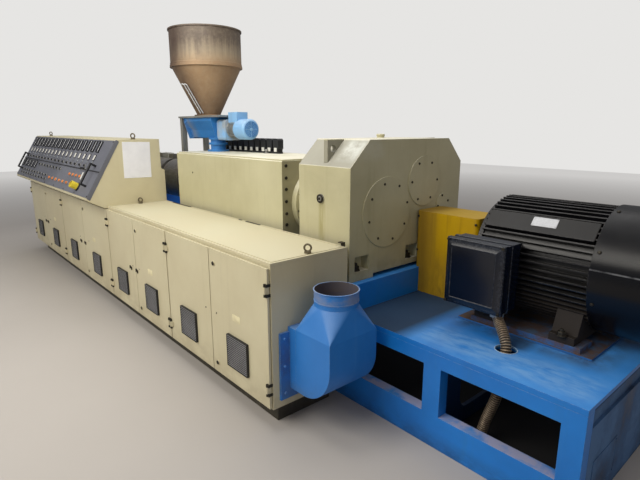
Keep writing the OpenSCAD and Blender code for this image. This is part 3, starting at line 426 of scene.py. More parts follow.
# Blue enamel on the light duct: flatter, with a film of dust, a grey collar, a dark brown inside and painted
# shade on the flange's side facing the motor.
ductEnamel = paintedMetal("duct_enamel", {
    "colours": "#2C7ED0 #2370BE #8AA8D0 #A9B4BC #4C8ACB", "dust": 0.7, "runs": 0.35, "rub": 0.7,
    "zones": [area("#8C8E96", 0.6, 0.003, (9, 9, 16), Z=(0.672, 0.8)),
              area("#544840", 0.92, disc=(2.0665, -0.764, 0.1025), Z=(0.5, 0.9)),
              # Painted shade on the flange's side facing the motor.
              area("#4A5680", 0.75, 0.001, 4, X=(1.88, 1.902)),
              area("#4A5F80", 0.4, 0.05, 9, Z=(0.1, 0.27))]})
# Pale blue enamel on the feeder's small motor and gear case.
paleBlueEnamel = paintedMetal("pale_blue_enamel", {
    "colours": "#8CBCE6 #74A8DA #B7C6D6 #5E6870 #7F8D98", "dust": 0.7, "runs": 0.4, "rough": 0.4,
    "zones": [area("#A39D90", 0.7, 0.003, 7, X=(0.15, 0.291), Z=(1.3, 1.52))]})
# Yellow guard enamel: strong, darkened with painted shade at the bottom and along its edge by the gear case.
yellowEnamel = paintedMetal("yellow_enamel", {
    "colours": "#C49C00 #AE8600 #A08838 #4E3D10 #7E5E08", "dust": 0.6, "runs": 0.6, "rough": 0.36,
    # Painted shade at the bottom and along the edge by the gear case.
    "rub": 0.6, "zones": [area("#4A3706", 0.75, 0.12, (8, 8, 3), Z=(0.4, 0.66)),
                          area("#7A5C05", 0.7, 0.05, X=(1.86, 1.99))]})
# Black motor enamel on ribbed cast iron: glossy, dusty grey on every upper face.
blackEnamel = paintedMetal("black_enamel", {
    "colours": "#17171A #0E0E11 #3A3937 #5B5754 #2B2826", "dust": 0.6, "dustLow": 0.15, "dustScale": 9.0,
    "runs": 0.4, "rough": 0.26, "rub": 0.7, "peel": 160.0, "bump": 0.12, "specular": 0.4,
    "zones": [area("#28211C", 0.9, 0.03, Z=(0.4, 0.69))]})
# Blue-black enamel on the fan cowl, smooth sheet.
cowlEnamel = paintedMetal("cowl_enamel", {
    "colours": "#0E0F14 #090A0E #1C1C1F #6E6A66 #1A2030", "dust": 0.4, "dustScale": 5.0, "runs": 0.3,
    "rough": 0.22, "rub": 0.7, "specular": 0.25,
    "zones": [area("#8A8C90", 0.6, 0.002, 26, Y=(-0.2, 0.1), Z=(0.868, 0.873))]})
# Blue-black enamel on the terminal box.
inkEnamel = paintedMetal("ink_enamel", {
    "colours": "#0C1628 #070C18 #4C5058 #74787F #131D30", "dust": 0.7, "dustLow": 0.2, "runs": 0.3,
    "rough": 0.2, "edge": 0.004})
# Brown grease and rust over the rails under the motor with the motor's painted shadow over them, blue only
# along the thin plate's edge.
soleEnamel = paintedMetal("greasy_shaded_sole_enamel", {
    "colours": "#2B6FB4 #235C98 #4F5A62 #7C5534 #4A4640", "dust": 0.8, "dustLow": 0.3, "runs": 0.5,
    # Near-black: painted shadow of the motor; brown: grease and rust.
    "rough": 0.5, "zones": [area("#2B251F", 0.9, 0.001, 2, Z=(0.4955, 0.53)),
                            area("#5C4026", 0.75, 0.001, 16, Z=(0.4955, 0.53))]})
# Dark grey textured enamel on the instrument panel.
slateEnamel = paintedMetal("slate_enamel", {
    "colours": "#6B6D77 #5C5E68 #7B7D86 #7C808A #5C5E68", "dust": 0.35, "runs": 0.1, "rough": 0.5,
    "rub": 0.4, "peel": 700.0, "bump": 0.2})
# Brown-black enamel on the cabinet's plinth, its dark a painted shade under the cabinet, grey with floor dust.
plinthEnamel = paintedMetal("plinth_enamel", {
    "colours": "#3F3B30 #2C2920 #7C766A #726A58 #645E50", "dust": 0.6, "runs": 0.5, "rough": 0.6,
    "rub": 0.3})
# Blue of the trough and drop pipe: fresher, its outer bearing end tan with old dust.
troughEnamel = paintedMetal("trough_enamel", {
    "colours": "#2F7FC6 #2569AC #86A9C6 #9DB6C8 #5F8FB8", "dust": 0.7, "runs": 0.4, "rough": 0.38,
    "zones": [area("#A0917E", 0.85, 0.002, 2, X=(-0.5, -0.305)),
              area("#8E8C86", 0.5, 0.05, 9, X=(-0.305, -0.2))]})


def stainedHopper(name, look):
    # Mill-finish steel tanned by years of dust: pale band where the drum meets the cone, dark at the
    # top, thin runs down from the rim, and painted shade over the side turned from the lamps.
    seam, cone, coneLight, light, soot, shadeColour = look["seam"], *[linear(text) for text in look["colours"].split()]
    material, tree, place = startMaterial(name)
    height, side = axisOf(tree, place, "Z"), axisOf(tree, place, "X")
    cloud = patch(tree, place, 5.0, 6.0, 0.66)
    runs = patch(tree, place, (30.0, 30.0, 1.1), 4.0, 0.6)
    low = blend(tree, ramp(tree, cloud, 0.3, 0.7), cone, coneLight)
    pale = blend(tree, ramp(tree, height, seam, seam + 0.1), low, light)
    edge = maths(tree, "ADD", height, times(tree, runs, 0.22))
    colour = blend(tree, ramp(tree, edge, seam + 0.15, seam + 0.29, 0.0, 0.9), pale, soot)
    colour = blend(tree, ramp(tree, cloud, 0.58, 0.75, 0.0, 0.35), colour, soot)
    fine = patch(tree, place, 38.0, 4.0, 0.7)
    colour = blend(tree, ramp(tree, fine, 0.45, 0.65, 0.0, 0.22), colour, light)
    # Painted shade: darker towards -X, on the side turned from the lamps.
    shade = times(tree, ramp(tree, side, -0.06, 0.09, 0.95, 0.0), ramp(tree, cloud, 0.25, 0.6, 1.0, 0.7))
    finishMaterial(tree, {"Base Color": blend(tree, shade, colour, shadeColour), "Metallic": 0.15,
                          "Roughness": ramp(tree, cloud, 0.3, 0.7, 0.45, 0.65),
                          "Normal": bumped(tree, 0.1, 0.001, cloud)})
    return material


# Colours: cone, lighter cone, pale band, soot and painted shade.
hopperSteel = stainedHopper("stained_hopper_steel", {
    "seam": 1.92, "colours": "#977B5E #AF9271 #B2A38A #5E524A #45342D"})
# Screw barrel and bands: machined steel with blue-brown heat stain.
barrelMetal = bareMetal("heat_stained_steel", {
    "colours": "#A3A09A #7E7B76 #5B4632", "stain": 0.7, "rough": 0.34, "metal": 1.0, "brush": (12.0, 260.0, 260.0)})
# Zinc-plated steel: pale grey, faint spangle, white bloom.
zincMetal = bareMetal("zinc_plated_steel", {
    "colours": "#B4B4B0 #8E8E8A #8C8578", "stain": 0.5, "rough": 0.4, "metal": 0.85})
# Blackened fasteners with oil on them.
darkMetal = bareMetal("oiled_dark_steel", {
    "colours": "#4A463E #2B2925 #3A2E22", "stain": 0.5, "rough": 0.42, "metal": 0.8})
# Forged lifting eyes with most of their paint gone.
eyeMetal = bareMetal("worn_forged_eye", {
    "colours": "#7B7159 #574D3A #3F3324", "stain": 0.6, "rough": 0.5, "metal": 0.3})
# Aluminium plate with nothing on it, dull.
plateMetal = bareMetal("blank_aluminium_plate", {
    "colours": "#D2D4D8 #BFC1C5 #9A9A9A", "stain": 0.3, "rough": 0.45, "metal": 0.4})
# Galvanised hose strip of the conduit, brown with dust, dark between its ribs.
conduitMetal = bareMetal("dusty_conduit_steel", {
    "colours": "#BBA78E #8A7A67 #6A5A49", "stain": 0.5, "rough": 0.45, "metal": 0.6,
    "brush": (60.0, 60.0, 60.0), "groove": "#241C16"})
# Plastics, glass, film and paper: base colour, dark colour and roughness.
blackPlastic = plainPlastic("black_moulded_plastic", "#1C1D21", "#131418", 0.4)
greyPlastic = plainPlastic("grey_moulded_plastic", "#A2A2A4", "#8A8A8D", 0.45)
windowGlass = plainPlastic("gauge_window_glass", "#15161C", "#0E0F14", 0.16)
scaleWhite = plainPlastic("white_scale_plate", "#E4E3DD", "#D2D1CA", 0.42)
amberLens = plainPlastic("amber_lens", "#E08A4A", "#C86E34", 0.3)
lensGrey = plainPlastic("grey_lens", "#7B8796", "#66717F", 0.3)
yellowPlastic = plainPlastic("yellow_moulded_plastic", "#E3CE3A", "#D2BB28", 0.42)
labelFilm = plainPlastic("bare_label_film", "#E8DFB8", "#D9CFA8", 0.5)
paperWhite = plainPlastic("white_paper", "#F1F2F8", "#E8E9F0", 0.7)

# The part's material slot that each finish of an added piece belongs to.
slotFinishes = {
    "black_plastic": (blackPlastic, greyPlastic, windowGlass), "zinc_steel": (zincMetal, plateMetal, lensGrey),
    "dark_hardware": (darkMetal,), "panel_paint": (slateEnamel, scaleWhite),
    "yellow_paint": (amberLens, yellowPlastic), "conduit_steel": (conduitMetal,),
    "cream_paint": (creamEnamel, caseEnamel, labelFilm, paperWhite),
    "light_blue_paint": (paleBlueEnamel,), "terminal_box_paint": (inkEnamel,), "hopper_steel": (hopperSteel,),
    "blue_paint": (grimyShadedEnamel,), "black_paint": (blackEnamel,), "duct_blue_paint": (ductEnamel,)}
slotOf = {finish.name: slot for slot, finishes in slotFinishes.items() for finish in finishes}
doors = " ".join("door_%d" % number for number in range(1, 9))
nodeFinishes = [
    (blueEnamel, "skid_deck skid_girders gearbox_pedestal barrel_supports"), (grimyShadedEnamel, "skid_crossmembers"),
    (caseEnamel, "gearbox_housing gearbox_lugs thrust_cover shaft_covers lantern feed_housing feed_housing_lid"),
    (zincMetal, "sight_plug hopper_table table_legs"), (blackPlastic, "plug_row grab_handles"),
    (barrelMetal, "barrel heater_bands outlet_flange"), (hopperSteel, "hopper_shell"),
    (troughEnamel, "feeder_trough feed_throat"), (paleBlueEnamel, "feeder_drive"), (yellowEnamel, "coupling_guard"),
    (soleEnamel, "motor_sole_plate"), (blackEnamel, "motor_frame motor_end_bell"), (cowlEnamel, "motor_fan_cowl"),
    (inkEnamel, "terminal_box"), (darkMetal, "motor_conduit cabinet_hinges"),
    (insideEnamel, "cabinet_floor cabinet_back bay_dividers"), (plinthEnamel, "cabinet_plinth"),
    (creamEnamel, "cabinet_ends cabinet_lid console_housing " + doors), (eyeMetal, "lifting_eyes"),
    (slateEnamel, "instrument_panel"), (ductEnamel, "duct_flange duct_elbow")]


def dressNodes(finishes):
    # Every slot of every node's mesh gets its finish.
    for finish, names in finishes:
        for name in names.split():
            materials = nodes[name].data.materials
            if not materials:
                materials.append(finish)
            for index in range(len(materials)):
                materials[index] = finish


dressNodes(nodeFinishes)
print("nodes dressed")


def bezel(width, height, corner, rim, depth):
    # Frame of an instrument: outer wall up, a narrow face, then down inside to the window.
    return raised(width, height, corner, [(0, 0), (0, depth - 2), (1.2, depth), (rim, depth), (rim + 1, depth - 5)])


def pill(radius, height, dome=2.0, count=20):
    # Button or lens: straight wall, then the edge rolls over a quarter circle and rises to a low dome.
    roll = 2
    a = np.linspace(0, math.pi / 2, 5)
    edge = np.stack([radius - roll + roll * np.cos(a), height - roll + roll * np.sin(a)], axis=1)
    crown = np.array([[radius * 0.6, height + dome * 0.6], [radius * 0.25, height + dome]])
    return turned(np.concatenate([[[radius, 0]], edge, crown]), count)


def collar(outer, inner, height):
    # Ring: up the outside, over the top, down the inside.
    return turned([(outer, 0), (outer, height - 1), (outer - 1, height), (inner + 0.6, height),
                   (inner, height - 2)], 20)


def socketScrew(radius, height):
    # Socket head: chamfered cylinder with a round pocket in its top.
    return turned([(radius, 0), (radius, height - 1), (radius - 1, height), (radius * 0.55, height),
                   (radius * 0.5, height - 3.0)], 14)


def boltRing(x, y, z, radius, count, turn):
    # Places round an axis along X: (x, y + r cos a, z + r sin a).
    spots = ring(radius, count, math.radians(turn))
    return np.column_stack([np.full(count, x), y + spots[:, 0], z + spots[:, 1]])


# Console instruments. A row gives first x, last x, count, height along the slope from its lower edge,
# and a shift in x; a part gives its maker, the maker's sizes and its row.
consoleLook = {
    "foot": (-1150.0, 904.0), "rise": (0.50538, 0.86279), "plate": 8.0,
    "edge": (28, 507, 1, 0, 2, 0.6, 2.6), "edgePlace": (-301, -1013.3, 1125.5),
    "rows": {
        "gauges": (-578, -2886, 18, 441, 0), "gaugeHighlights": (-578, -2886, 18, 441, 26),
        "scales": (-578, -2886, 18, 343, 0), "knobs": (-578, -2886, 18, 262, -6),
        "knobLamps": (-578, -2886, 18, 297, -6), "lowGauges": (-2368, -2954, 5, 178, 0),
        "lowGaugeHighlights": (-2368, -2954, 5, 178, 26), "middleButtons": (-1376, -2191, 8, 190, 0),
        "leftButtons": (-1747, -2840, 10, 96, 0), "leftKeys": (-1747, -2840, 10, 58, 20),
        "highLamps": (-702, -1001, 4, 165, 0), "lowLamps": (-851, -1580, 7, 84, 0),
        "strip": (-672, -672, 1, 174, 0), "toggles": (-682, -742, 2, 236, 0), "ledge": (-1681, -1681, 1, 232, 0),
        "guard": (-634, -634, 1, 77, 0), "lowScrews": (-3035, -327, 9, 26, 0),
        "highScrews": (-3035, -327, 9, 494, 0)},
    "parts": {
        "gauge_frames": [(bezel, (62, 102, 4, 4, 12), "gauges"), (bezel, (62, 84, 4, 4, 12), "lowGauges")],
        # Pale strips at the right of each gauge frame: painted highlights.
        "gauge_highlight_strips": [(slab, (8, 90, 2, 8, 13, 0.6, 13.6), "gaugeHighlights"),
                         (slab, (8, 72, 2, 8, 13, 0.6, 13.6), "lowGaugeHighlights")],
        "gauge_windows": [(slab, (50, 90, 2, 5, 7.6, 1, 8), "gauges"),
                          (slab, (50, 72, 2, 5, 7.6, 1, 8), "lowGauges"), (slab, (40, 54, 3, 0, 4, 1, 5), "scales")],
        "gauge_scales": [(slab, (30, 44, 2, 4, 6, 1, 6.8), "scales"), (slab, (20, 66, 2, 0, 4, 1, 5), "strip")],
        "button_rings": [(collar, (15, 10, 5), "knobs"), (collar, (11, 7, 4), "knobLamps"),
                         (collar, (17, 12, 6), "middleButtons"), (collar, (16, 11, 6), "leftButtons"),
                         (collar, (16, 11, 6), "leftKeys"), (collar, (17, 13, 6), "highLamps"),
                         (collar, (17, 13, 6), "lowLamps"), (collar, (14, 9, 6), "toggles")],
        "button_caps": [(pill, (10, 16), "knobs"), (pill, (12, 12), "middleButtons"),
                        (pill, (11, 12), "leftButtons"), (pill, (11, 12), "leftKeys"), (pill, (9, 22), "toggles"),
                        (slab, (2740, 9, 4, 0, 4, 2, 6), "ledge")],
        "signal_lenses": [(pill, (7, 7), "knobLamps")],
        "amber_lamps": [(pill, (13, 13, 4), "highLamps"), (pill, (13, 13, 4), "lowLamps")],
        "panel_screws": [(pill, (6, 3, 1.0, 12), "lowScrews"), (pill, (6, 3, 1.0, 12), "highScrews")],
        "stop_guard": [(turned, ([(29, 8), (29, 60), (27, 63), (24, 63), (23, 40)], 28), "guard")],
        "stop_button": [(turned, ([(36, 0), (36, 8), (34, 11), (28, 12)], 28), "guard"),
                        (pill, (18, 46, 4), "guard")]}}


def onSlope(x, up):
    # Point of the panel: foot + up * rise + plate * normal, for an array of x.
    out = consoleLook["plate"]
    foot, rise = consoleLook["foot"], consoleLook["rise"]
    return np.stack([x, np.full(len(x), foot[0] + up * rise[0] - out * rise[1]),
                     np.full(len(x), foot[1] + up * rise[1] + out * rise[0])], axis=-1)


def panelPiece(name, finish):
    # Copies of each part stand square on the panel at equal steps along the part's row.
    rise, parts = consoleLook["rise"], []
    for make, sizes, row in consoleLook["parts"][name]:
        first, last, count, up, shift = consoleLook["rows"][row]
        parts.append((make, sizes, onSlope(np.linspace(first, last, count) + shift, up)))
    piece(name, assembled(parts, (0.0, -rise[1], rise[0])), finish)


def makeConsole():
    look = consoleLook
    panelPiece("gauge_frames", blackPlastic)
    # Pale metal strips on the right of the gauge frames: painted highlights.
    panelPiece("gauge_highlight_strips", plateMetal)
    piece("panel_edge", placed(slab(*look["edge"]), look["edgePlace"], alongX, (0, *look["rise"])), slateEnamel)
    for name, finish in (("gauge_windows", windowGlass), ("gauge_scales", scaleWhite), ("button_rings", zincMetal),
                         ("button_caps", blackPlastic), ("signal_lenses", lensGrey), ("amber_lamps", amberLens),
                         ("panel_screws", darkMetal), ("stop_guard", yellowPlastic), ("stop_button", blackPlastic)):
        panelPiece(name, finish)


# Doors: grey bars in a black frame over each vent, the frame's black sides and backing a painted shade,
# locks, small latches and bare pale label patches.
doorLook = {
    "front": -1021.0, "ventHeight": 308.0, "grille": (192, 177), "rim": (4.6, 6), "slats": 16, "frameCorner": 2,
    "frame": [(0, 0), (0, 14), (0.6, 14.6), (2.2, 14.6), (3, 2)],
    "slat": [[0.35, 9.5], [0.35, 12.5], [0.62, 13.5], [0.62, 9.5]],
    "centres": [1613.75, 1069.25, 518.75, -25.75, -647.5, -1334.5, -2027.5, -2714.5],
    "lockX": {1: 1394.5, 3: 299.5, 5: -938.0, 7: -2318.0}, "lockZ": (181, 747),
    "lock": [(12, 0), (12, 5), (10, 7), (6, 7), (5, 4)], "key": (4, 12, 2, 3, 6, 0.5, 6.5),
    "labels": {1: (1602, 498), 3: (505, 494), 5: (-706, 508), 7: (-2040, 501)},
    "label": (74, 36, 5, 0.1, 0.5, 0.6, 0.8),
    "latches": {3: (268, 453), 4: (152, 453), 5: (-968, 437), 6: (-1092, 437), 7: (-2350, 433), 8: (-2440, 433)},
    "latch": [(slab, (5, 24, 2, 0, 7, 1, 8), [(-14, 0, 0), (14, -6, 0)]),
              (slab, (24, 5, 2, 0, 5, 1, 6), (-10, 5, 0))],
    "plug": (4.5, 2, 0.5, 12), "plugAside": 213, "plugHeight": 471}


def slatBars(width, height, count):
    # Flat bars over the frame's dark backing, a painted shade between the bars: one four-sided section
    # repeated up the opening, side to side.
    # The section's first number is a share of the pitch.
    pitch = height / count
    section = np.array(doorLook["slat"]) * [pitch, 1.0]
    shapes = []
    for low in -height / 2 + pitch * np.arange(count):
        y, z = low + section[:, 0], section[:, 1]
        shapes.append(skin([np.stack([np.full(4, x), y, z], axis=1) for x in (width / 2, -width / 2)]))
    return joined(*shapes)


def doorPiece(name, number, shape, spots, finish):
    # Copies of a shape on the front of one door, at each (x, z).
    places = [(x, doorLook["front"], z) for x, z in spots]
    piece("%s_%d" % (name, number), placed(shape, places, outward), finish, "door_%d" % number)


def makeDoors():
    look = doorLook
    width, height = look["grille"]
    frameShape = raised(width, height, look["frameCorner"], look["frame"])
    blades = slatBars(width - look["rim"][0], height - look["rim"][1], look["slats"])
    lock = joined(turned(look["lock"], 20), slab(*look["key"]))
    for number, centre in enumerate(look["centres"], start=1):
        vent = [(centre, look["ventHeight"])]
        # Black frame: its sides and backing stand in for painted shade round and between the bars.
        doorPiece("vent_frame", number, frameShape, vent, blackPlastic)
        doorPiece("vent_grille", number, blades, vent, greyPlastic)
        if number in look["lockX"]:
            doorPiece("door_lock", number, lock, [(look["lockX"][number], z) for z in look["lockZ"]], darkMetal)
        if number in look["labels"]:
            doorPiece("bare_label", number, slab(*look["label"]), [look["labels"][number]], labelFilm)
        if number in look["latches"]:
            doorPiece("door_latch", number, assembled(look["latch"]), [look["latches"][number]], darkMetal)
        aside = -look["plugAside"] if number % 2 else look["plugAside"]
        doorPiece("door_plug", number, pill(*look["plug"]), [(centre + aside, look["plugHeight"])], darkMetal)


def addPieces(table):
    # Every piece of a table: its finish, the way its parts face, the parts, and a slot where it has its own.
    for name, (finish, normal, parts, *slot) in table.items():
        piece(name, assembled(parts, normal), finish, "machine", *slot)


# Gear case, screw case and cabinet lid: socket screws, plugs, knobs, foot bolts, rubber strips.
casePieces = {
    "cover_screws": (darkMetal, alongX, [
        (socketScrew, (7, 3), boltRing(1869.0, -190, 988, 160, 8, 14.0)),
        (socketScrew, (7, 3), boltRing(1869.0, 122, 1138, 118, 6, 0.0)),
        (socketScrew, (7, 3), boltRing(1869.0, 314, 987, 52, 4, 14.0))]),
    "case_screws": (darkMetal, alongX, [
        (socketScrew, (10, 5), [(1287.0, y, z) for y in (-456, 56) for z in (864, 932, 1006, 1080, 1148, 1220)]),
        (socketScrew, (10, 8), boltRing(1329.0, -200, 988, 194, 12, 12))]),
    "sight_plug_head": (darkMetal, outward, [
        (turned, ([(24, 0), (24, 5), (21, 7), (17, 7), (16, 3)], 28), (1640.0, -493.0, 1066.0)),
        (slab, (13, 13, 1.5, 0, 9, 1, 10), (1640.0, -493.0, 1066.0))]),
    "lid_knobs": (zincMetal, upward, [
        (turned, ([(20, 0), (20, 3), (9, 6), (8, 14), (14, 18), (15, 24), (12, 29), (5, 31)], 20),
         [(572, -97, 1256), (2, -205, 1256), (191, 12, 1256)])]),
    "case_side_plug": (darkMetal, outward, [(pill, (7, 2, 0.5), (132, -485, 1106))]),
    "foot_bolts": (darkMetal, upward, [(assembled, ([
        (turned, ([(26, 0), (26, 4), (25, 5)], 24), origin), (slab, (34, 34, 6, 4, 24, 3, 27), origin),
        (turned, ([(11, 26), (11, 40), (9, 42)], 16), origin)],),
        [(x, y, 688) for x in (1836, 1477) for y in (-412, 20, 372)])]),
    "lid_rubber_strips": (blackPlastic, upward, [
        (slab, (163, 14, 4, 0, 1.4, 1, 2), (1032, -534, 846)),
        (slab, (40, 12, 4, 0, 1.4, 1, 2), (880, -533, 846)), (slab, (320, 14, 4, 0, 1.4, 1, 2), (6, -533, 846))]),
    "door_rail": (creamEnamel, outward, [(slab, (4930, 22, 1, 0, 2.4, 0.4, 3), (-586, -1001, 819))]),
    "lid_angle": (darkMetal, upward, [(slab, (30, 4, 1, 0, 22, 0.6, 23), (1858, -526, 846)),
                                      (slab, (30, 26, 2, 19, 22, 0.6, 23), (1858, -537, 846))])}


# Paper sheet taped to the console's end, left blank.
paperLook = {"x": -301.0, "y": (-855, -636), "z": (1051, 1333), "size": (216, 280), "lean": 0.02,
             "back": 0.1, "thick": 0.4, "lift": (1.2, 1.6, 0.5), "cells": (15, 19), "smooth": 60.0}


def makePaper():
    # Sheet x = lift plus a low double wave, so that it curls off the wall a little at its corners.
    look = paperLook
    u, v = np.meshgrid(*[np.linspace(0, 1, count) for count in look["cells"]])
    flat, corner, wave = look["lift"]
    curl = flat + corner * (2 * u - 1) ** 2 * (2 * v - 1) ** 2 + wave * np.sin(7 * v + 2 * u)
    y = look["y"][0] + u * (look["y"][1] - look["y"][0]) + look["lean"] * (v - 0.5) * look["size"][1]
    z = look["z"][0] + v * (look["z"][1] - look["z"][0]) - look["lean"] * (u - 0.5) * look["size"][0]
    top = np.stack([look["x"] + curl + look["thick"], y, z], axis=-1)
    back = np.stack([np.full_like(curl, look["x"] + look["back"]), y, z], axis=-1)
    rows, cols = u.shape
    index = np.arange(rows * cols).reshape(rows, cols)
    quads = np.stack([index[:-1, :-1], index[:-1, 1:], index[1:, 1:], index[1:, :-1]], axis=-1).reshape(-1, 4)
    rim = np.concatenate([index[0, :], index[1:, -1], index[-1, -2::-1], index[-2:0:-1, 0]])
    nextRim, step = np.roll(rim, -1), rows * cols
    wall = np.stack([rim + step, nextRim + step, nextRim, rim], axis=-1)
    faces = quads.tolist() + (quads[:, ::-1] + step).tolist() + wall.tolist()
    points = np.concatenate([top.reshape(-1, 3), back.reshape(-1, 3)])
    piece("blank_paper_sheet", (points, faces), paperWhite, smooth=look["smooth"])


# Motor: corrugated conduit with its nut, the hole's rim, box lid and gasket, screws of box, feet and cowl.
motorLook = {
    "conduit": [(2550, -196, 596), (2572, -213, 572), (2622, -258, 540), (2655, -288, 500), (2661, -302, 440),
                (2652, -322, 280), (2612, -329, 130), (2588, -333, 16)],
    "conduitSteps": 530, "conduitSides": 18, "conduitRadius": 22.5, "ribDepth": 2.2, "ribPitch": 10.5,
    "nut": [(turned, ([(33, 0), (34, 2), (34, 20), (31, 24)], 6), (2550, -196, 585)),
            (turned, ([(36, 18), (36, 26), (34, 29), (30, 30)], 28), (2550, -196, 585))],
    "holeRim": ([(50, 0.2), (50, 1), (48.5, 2.2), (46, 2.2), (45, 1), (45, -8), (45.8, -8), (46.2, 0.2)], 40, True),
    "hole": (2659, -293, 487), "boxFront": -255.0, "boxX": (2307, 2593), "boxZ": (615, 928),
    "box": [("terminal_box_lid", 8, 8, [(0, -20), (0, 3), (2, 5), (8, 5), (32, 18), (34, 18.5), (35.5, 16)]),
            ("terminal_box_ridge", 14, 9, [(0, -70), (0, -60), (2, -58)]),
            ("terminal_box_gasket", 3, 6, [(0, -28), (0, -19)])],
    "boxScrew": (7, 7), "boxScrewIn": 4, "boxScrewLift": 5.5,
    "footBolt": [(turned, ([(24, 0), (24, 4), (23, 5)], 20), origin),
                 (turned, ([(17, 4), (18, 5), (18, 18), (15, 21)], 6), origin),
                 (turned, ([(9, 20), (9, 30), (7, 32)], 14), origin)],
    "feet": [(x, 175 + side * 291, 554) for x in (2444, 2814) for side in (-1, 1)],
    "axis": (175.0, 820.0), "cowlScrew": (8, 4, 1.5, 12), "cowlX": 2912, "cowlRadius": 290,
    "cowlAngles": range(20, 336, 45), "smooth": 25.0}


def makeMotor():
    look = motorLook
    path = curveThrough(look["conduit"], look["conduitSteps"])
    run = np.concatenate([[0], np.cumsum(np.linalg.norm(np.diff(path, axis=0), axis=1))])
    wave = np.cos(2 * math.pi * run / look["ribPitch"])
    shape = pipe(path, look["conduitRadius"] + look["ribDepth"] * wave, look["conduitSides"], (1.0, 0.2, 0.0))
    hose = piece("ribbed_conduit", shape, conduitMetal)
    # Each point keeps how deep it lies between two ribs, 0.5 - 0.5 * wave; the conduit's metal is dark there.
    depth = hose.data.attributes.new("groove", "FLOAT", "POINT")
    depth.data.foreach_set("value", np.repeat(0.5 - 0.5 * wave, look["conduitSides"]))
    piece("conduit_nut", assembled(look["nut"]), zincMetal, smooth=look["smooth"])
    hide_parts("motor_conduit")
    piece("deck_hole_rim", placed(turned(*look["holeRim"]), look["hole"], upward), paleBlueEnamel)
    (x0, x1), (z0, z1), front = look["boxX"], look["boxZ"], look["boxFront"]
    middle = ((x0 + x1) / 2, front, (z0 + z1) / 2)
    for (name, grow, corner, profile), finish in zip(look["box"], (inkEnamel, inkEnamel, blackPlastic)):
        piece(name, placed(raised(x1 - x0 + grow, z1 - z0 + grow, corner, profile), middle, outward), finish)
    inset, face = look["boxScrewIn"], front - look["boxScrewLift"]
    corners = [(x, face, z) for x in (x0 + inset, x1 - inset) for z in (z0 + inset, z1 - inset)]
    heads = [placed(socketScrew(*look["boxScrew"]), corners, outward),
             placed(assembled(look["footBolt"]), look["feet"], upward)]
    for angle in look["cowlAngles"]:
        a = math.radians(angle)
        place = (look["cowlX"], look["axis"][0] + look["cowlRadius"] * math.cos(a),
                 look["axis"][1] + look["cowlRadius"] * math.sin(a))
        heads.append(placed(pill(*look["cowlScrew"]), place, (0.0, math.cos(a), math.sin(a)), alongX))
    piece("motor_bolts", joined(*heads), darkMetal, smooth=look["smooth"])


# Hopper: rolled rim, seam band and neck ring.
hopperLook = {
    "centre": (-92.0, -200.0), "top": 2190.0, "radius": 279.0, "seam": 1920.0, "bead": 5, "count": 64,
    "band": [(0.5, -8), (3, -6), (3, 16), (0.5, 18)],
    "neck": ([(116, 1537), (116, 1542), (112, 1546), (94, 1548), (94, 1536.5)], 40, True)}


def uncapped(shape):
    # The shape without its two flat end faces, which skin lists last.
    return shape[0], shape[1][:-2]


def makeHopper():
    look = hopperLook
    radius, top, bead = look["radius"], look["top"], look["bead"]
    a = np.linspace(-math.pi / 2, math.pi * 1.5, 9)
    roll = turned(np.stack([radius + 1 + bead * np.cos(a), top - bead + bead * np.sin(a)], axis=1), look["count"])
    band = turned([(radius + out, look["seam"] + up) for out, up in look["band"]], look["count"])
    rim = joined(uncapped(roll), uncapped(band), turned(*look["neck"]))
    piece("hopper_rim", placed(rim, (*look["centre"], 0), upward), hopperSteel)


def coneLine(angle, low, high, count=8):
    # Points up the hopper's cone: centre + r * (cos a, sin a) at height z, with (r, z) from low to high.
    x, y = hopperLook["centre"]
    return [(x + r * math.cos(angle), y + r * math.sin(angle), z) for r, z in np.linspace(low, high, count)]


# Feeder drive beside the hopper's cone, and the pale feet of the plug blocks.
driveY, driveZ, driveStart, driveEnd = -200.0, 1430.0, 288.0, 388.0
driveNeck, driveFace = (driveStart, driveY, driveZ), (533.0, driveY, driveZ)
driveRods = [[(x, driveY + a, driveZ + b) for x in (driveStart + 2, (driveStart + driveEnd) / 2, driveEnd + 2)]
             for a, b in ring(66, 4, math.pi / 4)]
driveNuts = np.column_stack([ring(56, 4, math.pi / 4), np.full(4, 10.0)])
spoke = slab(114, 3, 1, 0, 2.6, 0.4, 3)
feederPieces = {
    "drive_fins": (zincMetal, alongX, [
        (turned, ([(66, 0), (66, 9), (64, 11), (50, 11), (50, 0)], 32, True), driveNeck)] + [
        (turned, ([(60, x), (60, x + 4), (50, x + 4), (50, x)], 28, True), driveNeck) for x in range(20, 90, 9)]),
    "drive_rods": (zincMetal, upward, [
        (placed, (placed(socketScrew(6, 8), driveNuts, upward), driveNeck, alongX), origin)] + [
        (pipe, (rod, 3.5, 10), origin) for rod in driveRods]),
    "drive_fan_guard": (paleBlueEnamel, alongX, [
        (joined, (spoke, placed(spoke, origin, upward, alongX)), driveFace),
        (turned, ([(13, 0), (13, 2.5), (11, 3.6)], 24), driveFace)] + [
        (turned, ([(r + 2.4, 0), (r + 2.4, 3), (r, 3.4), (r, 0)], 32, True), driveFace)
        for r in (11, 20, 29, 38, 47, 56)]),
    "drive_fan_shade": (troughEnamel, alongX, [(turned, ([(58, 0), (58, 0.8), (57, 1)], 32), driveFace)],
                        "light_blue_paint"),
    "plug_feet": (scaleWhite, outward, [
        (slab, (30, 28, 3, -12, 3, 1, 4), [(30.0 + 80.0 * k, -84.0, 1284.0) for k in range(9)])], "zinc_steel")}

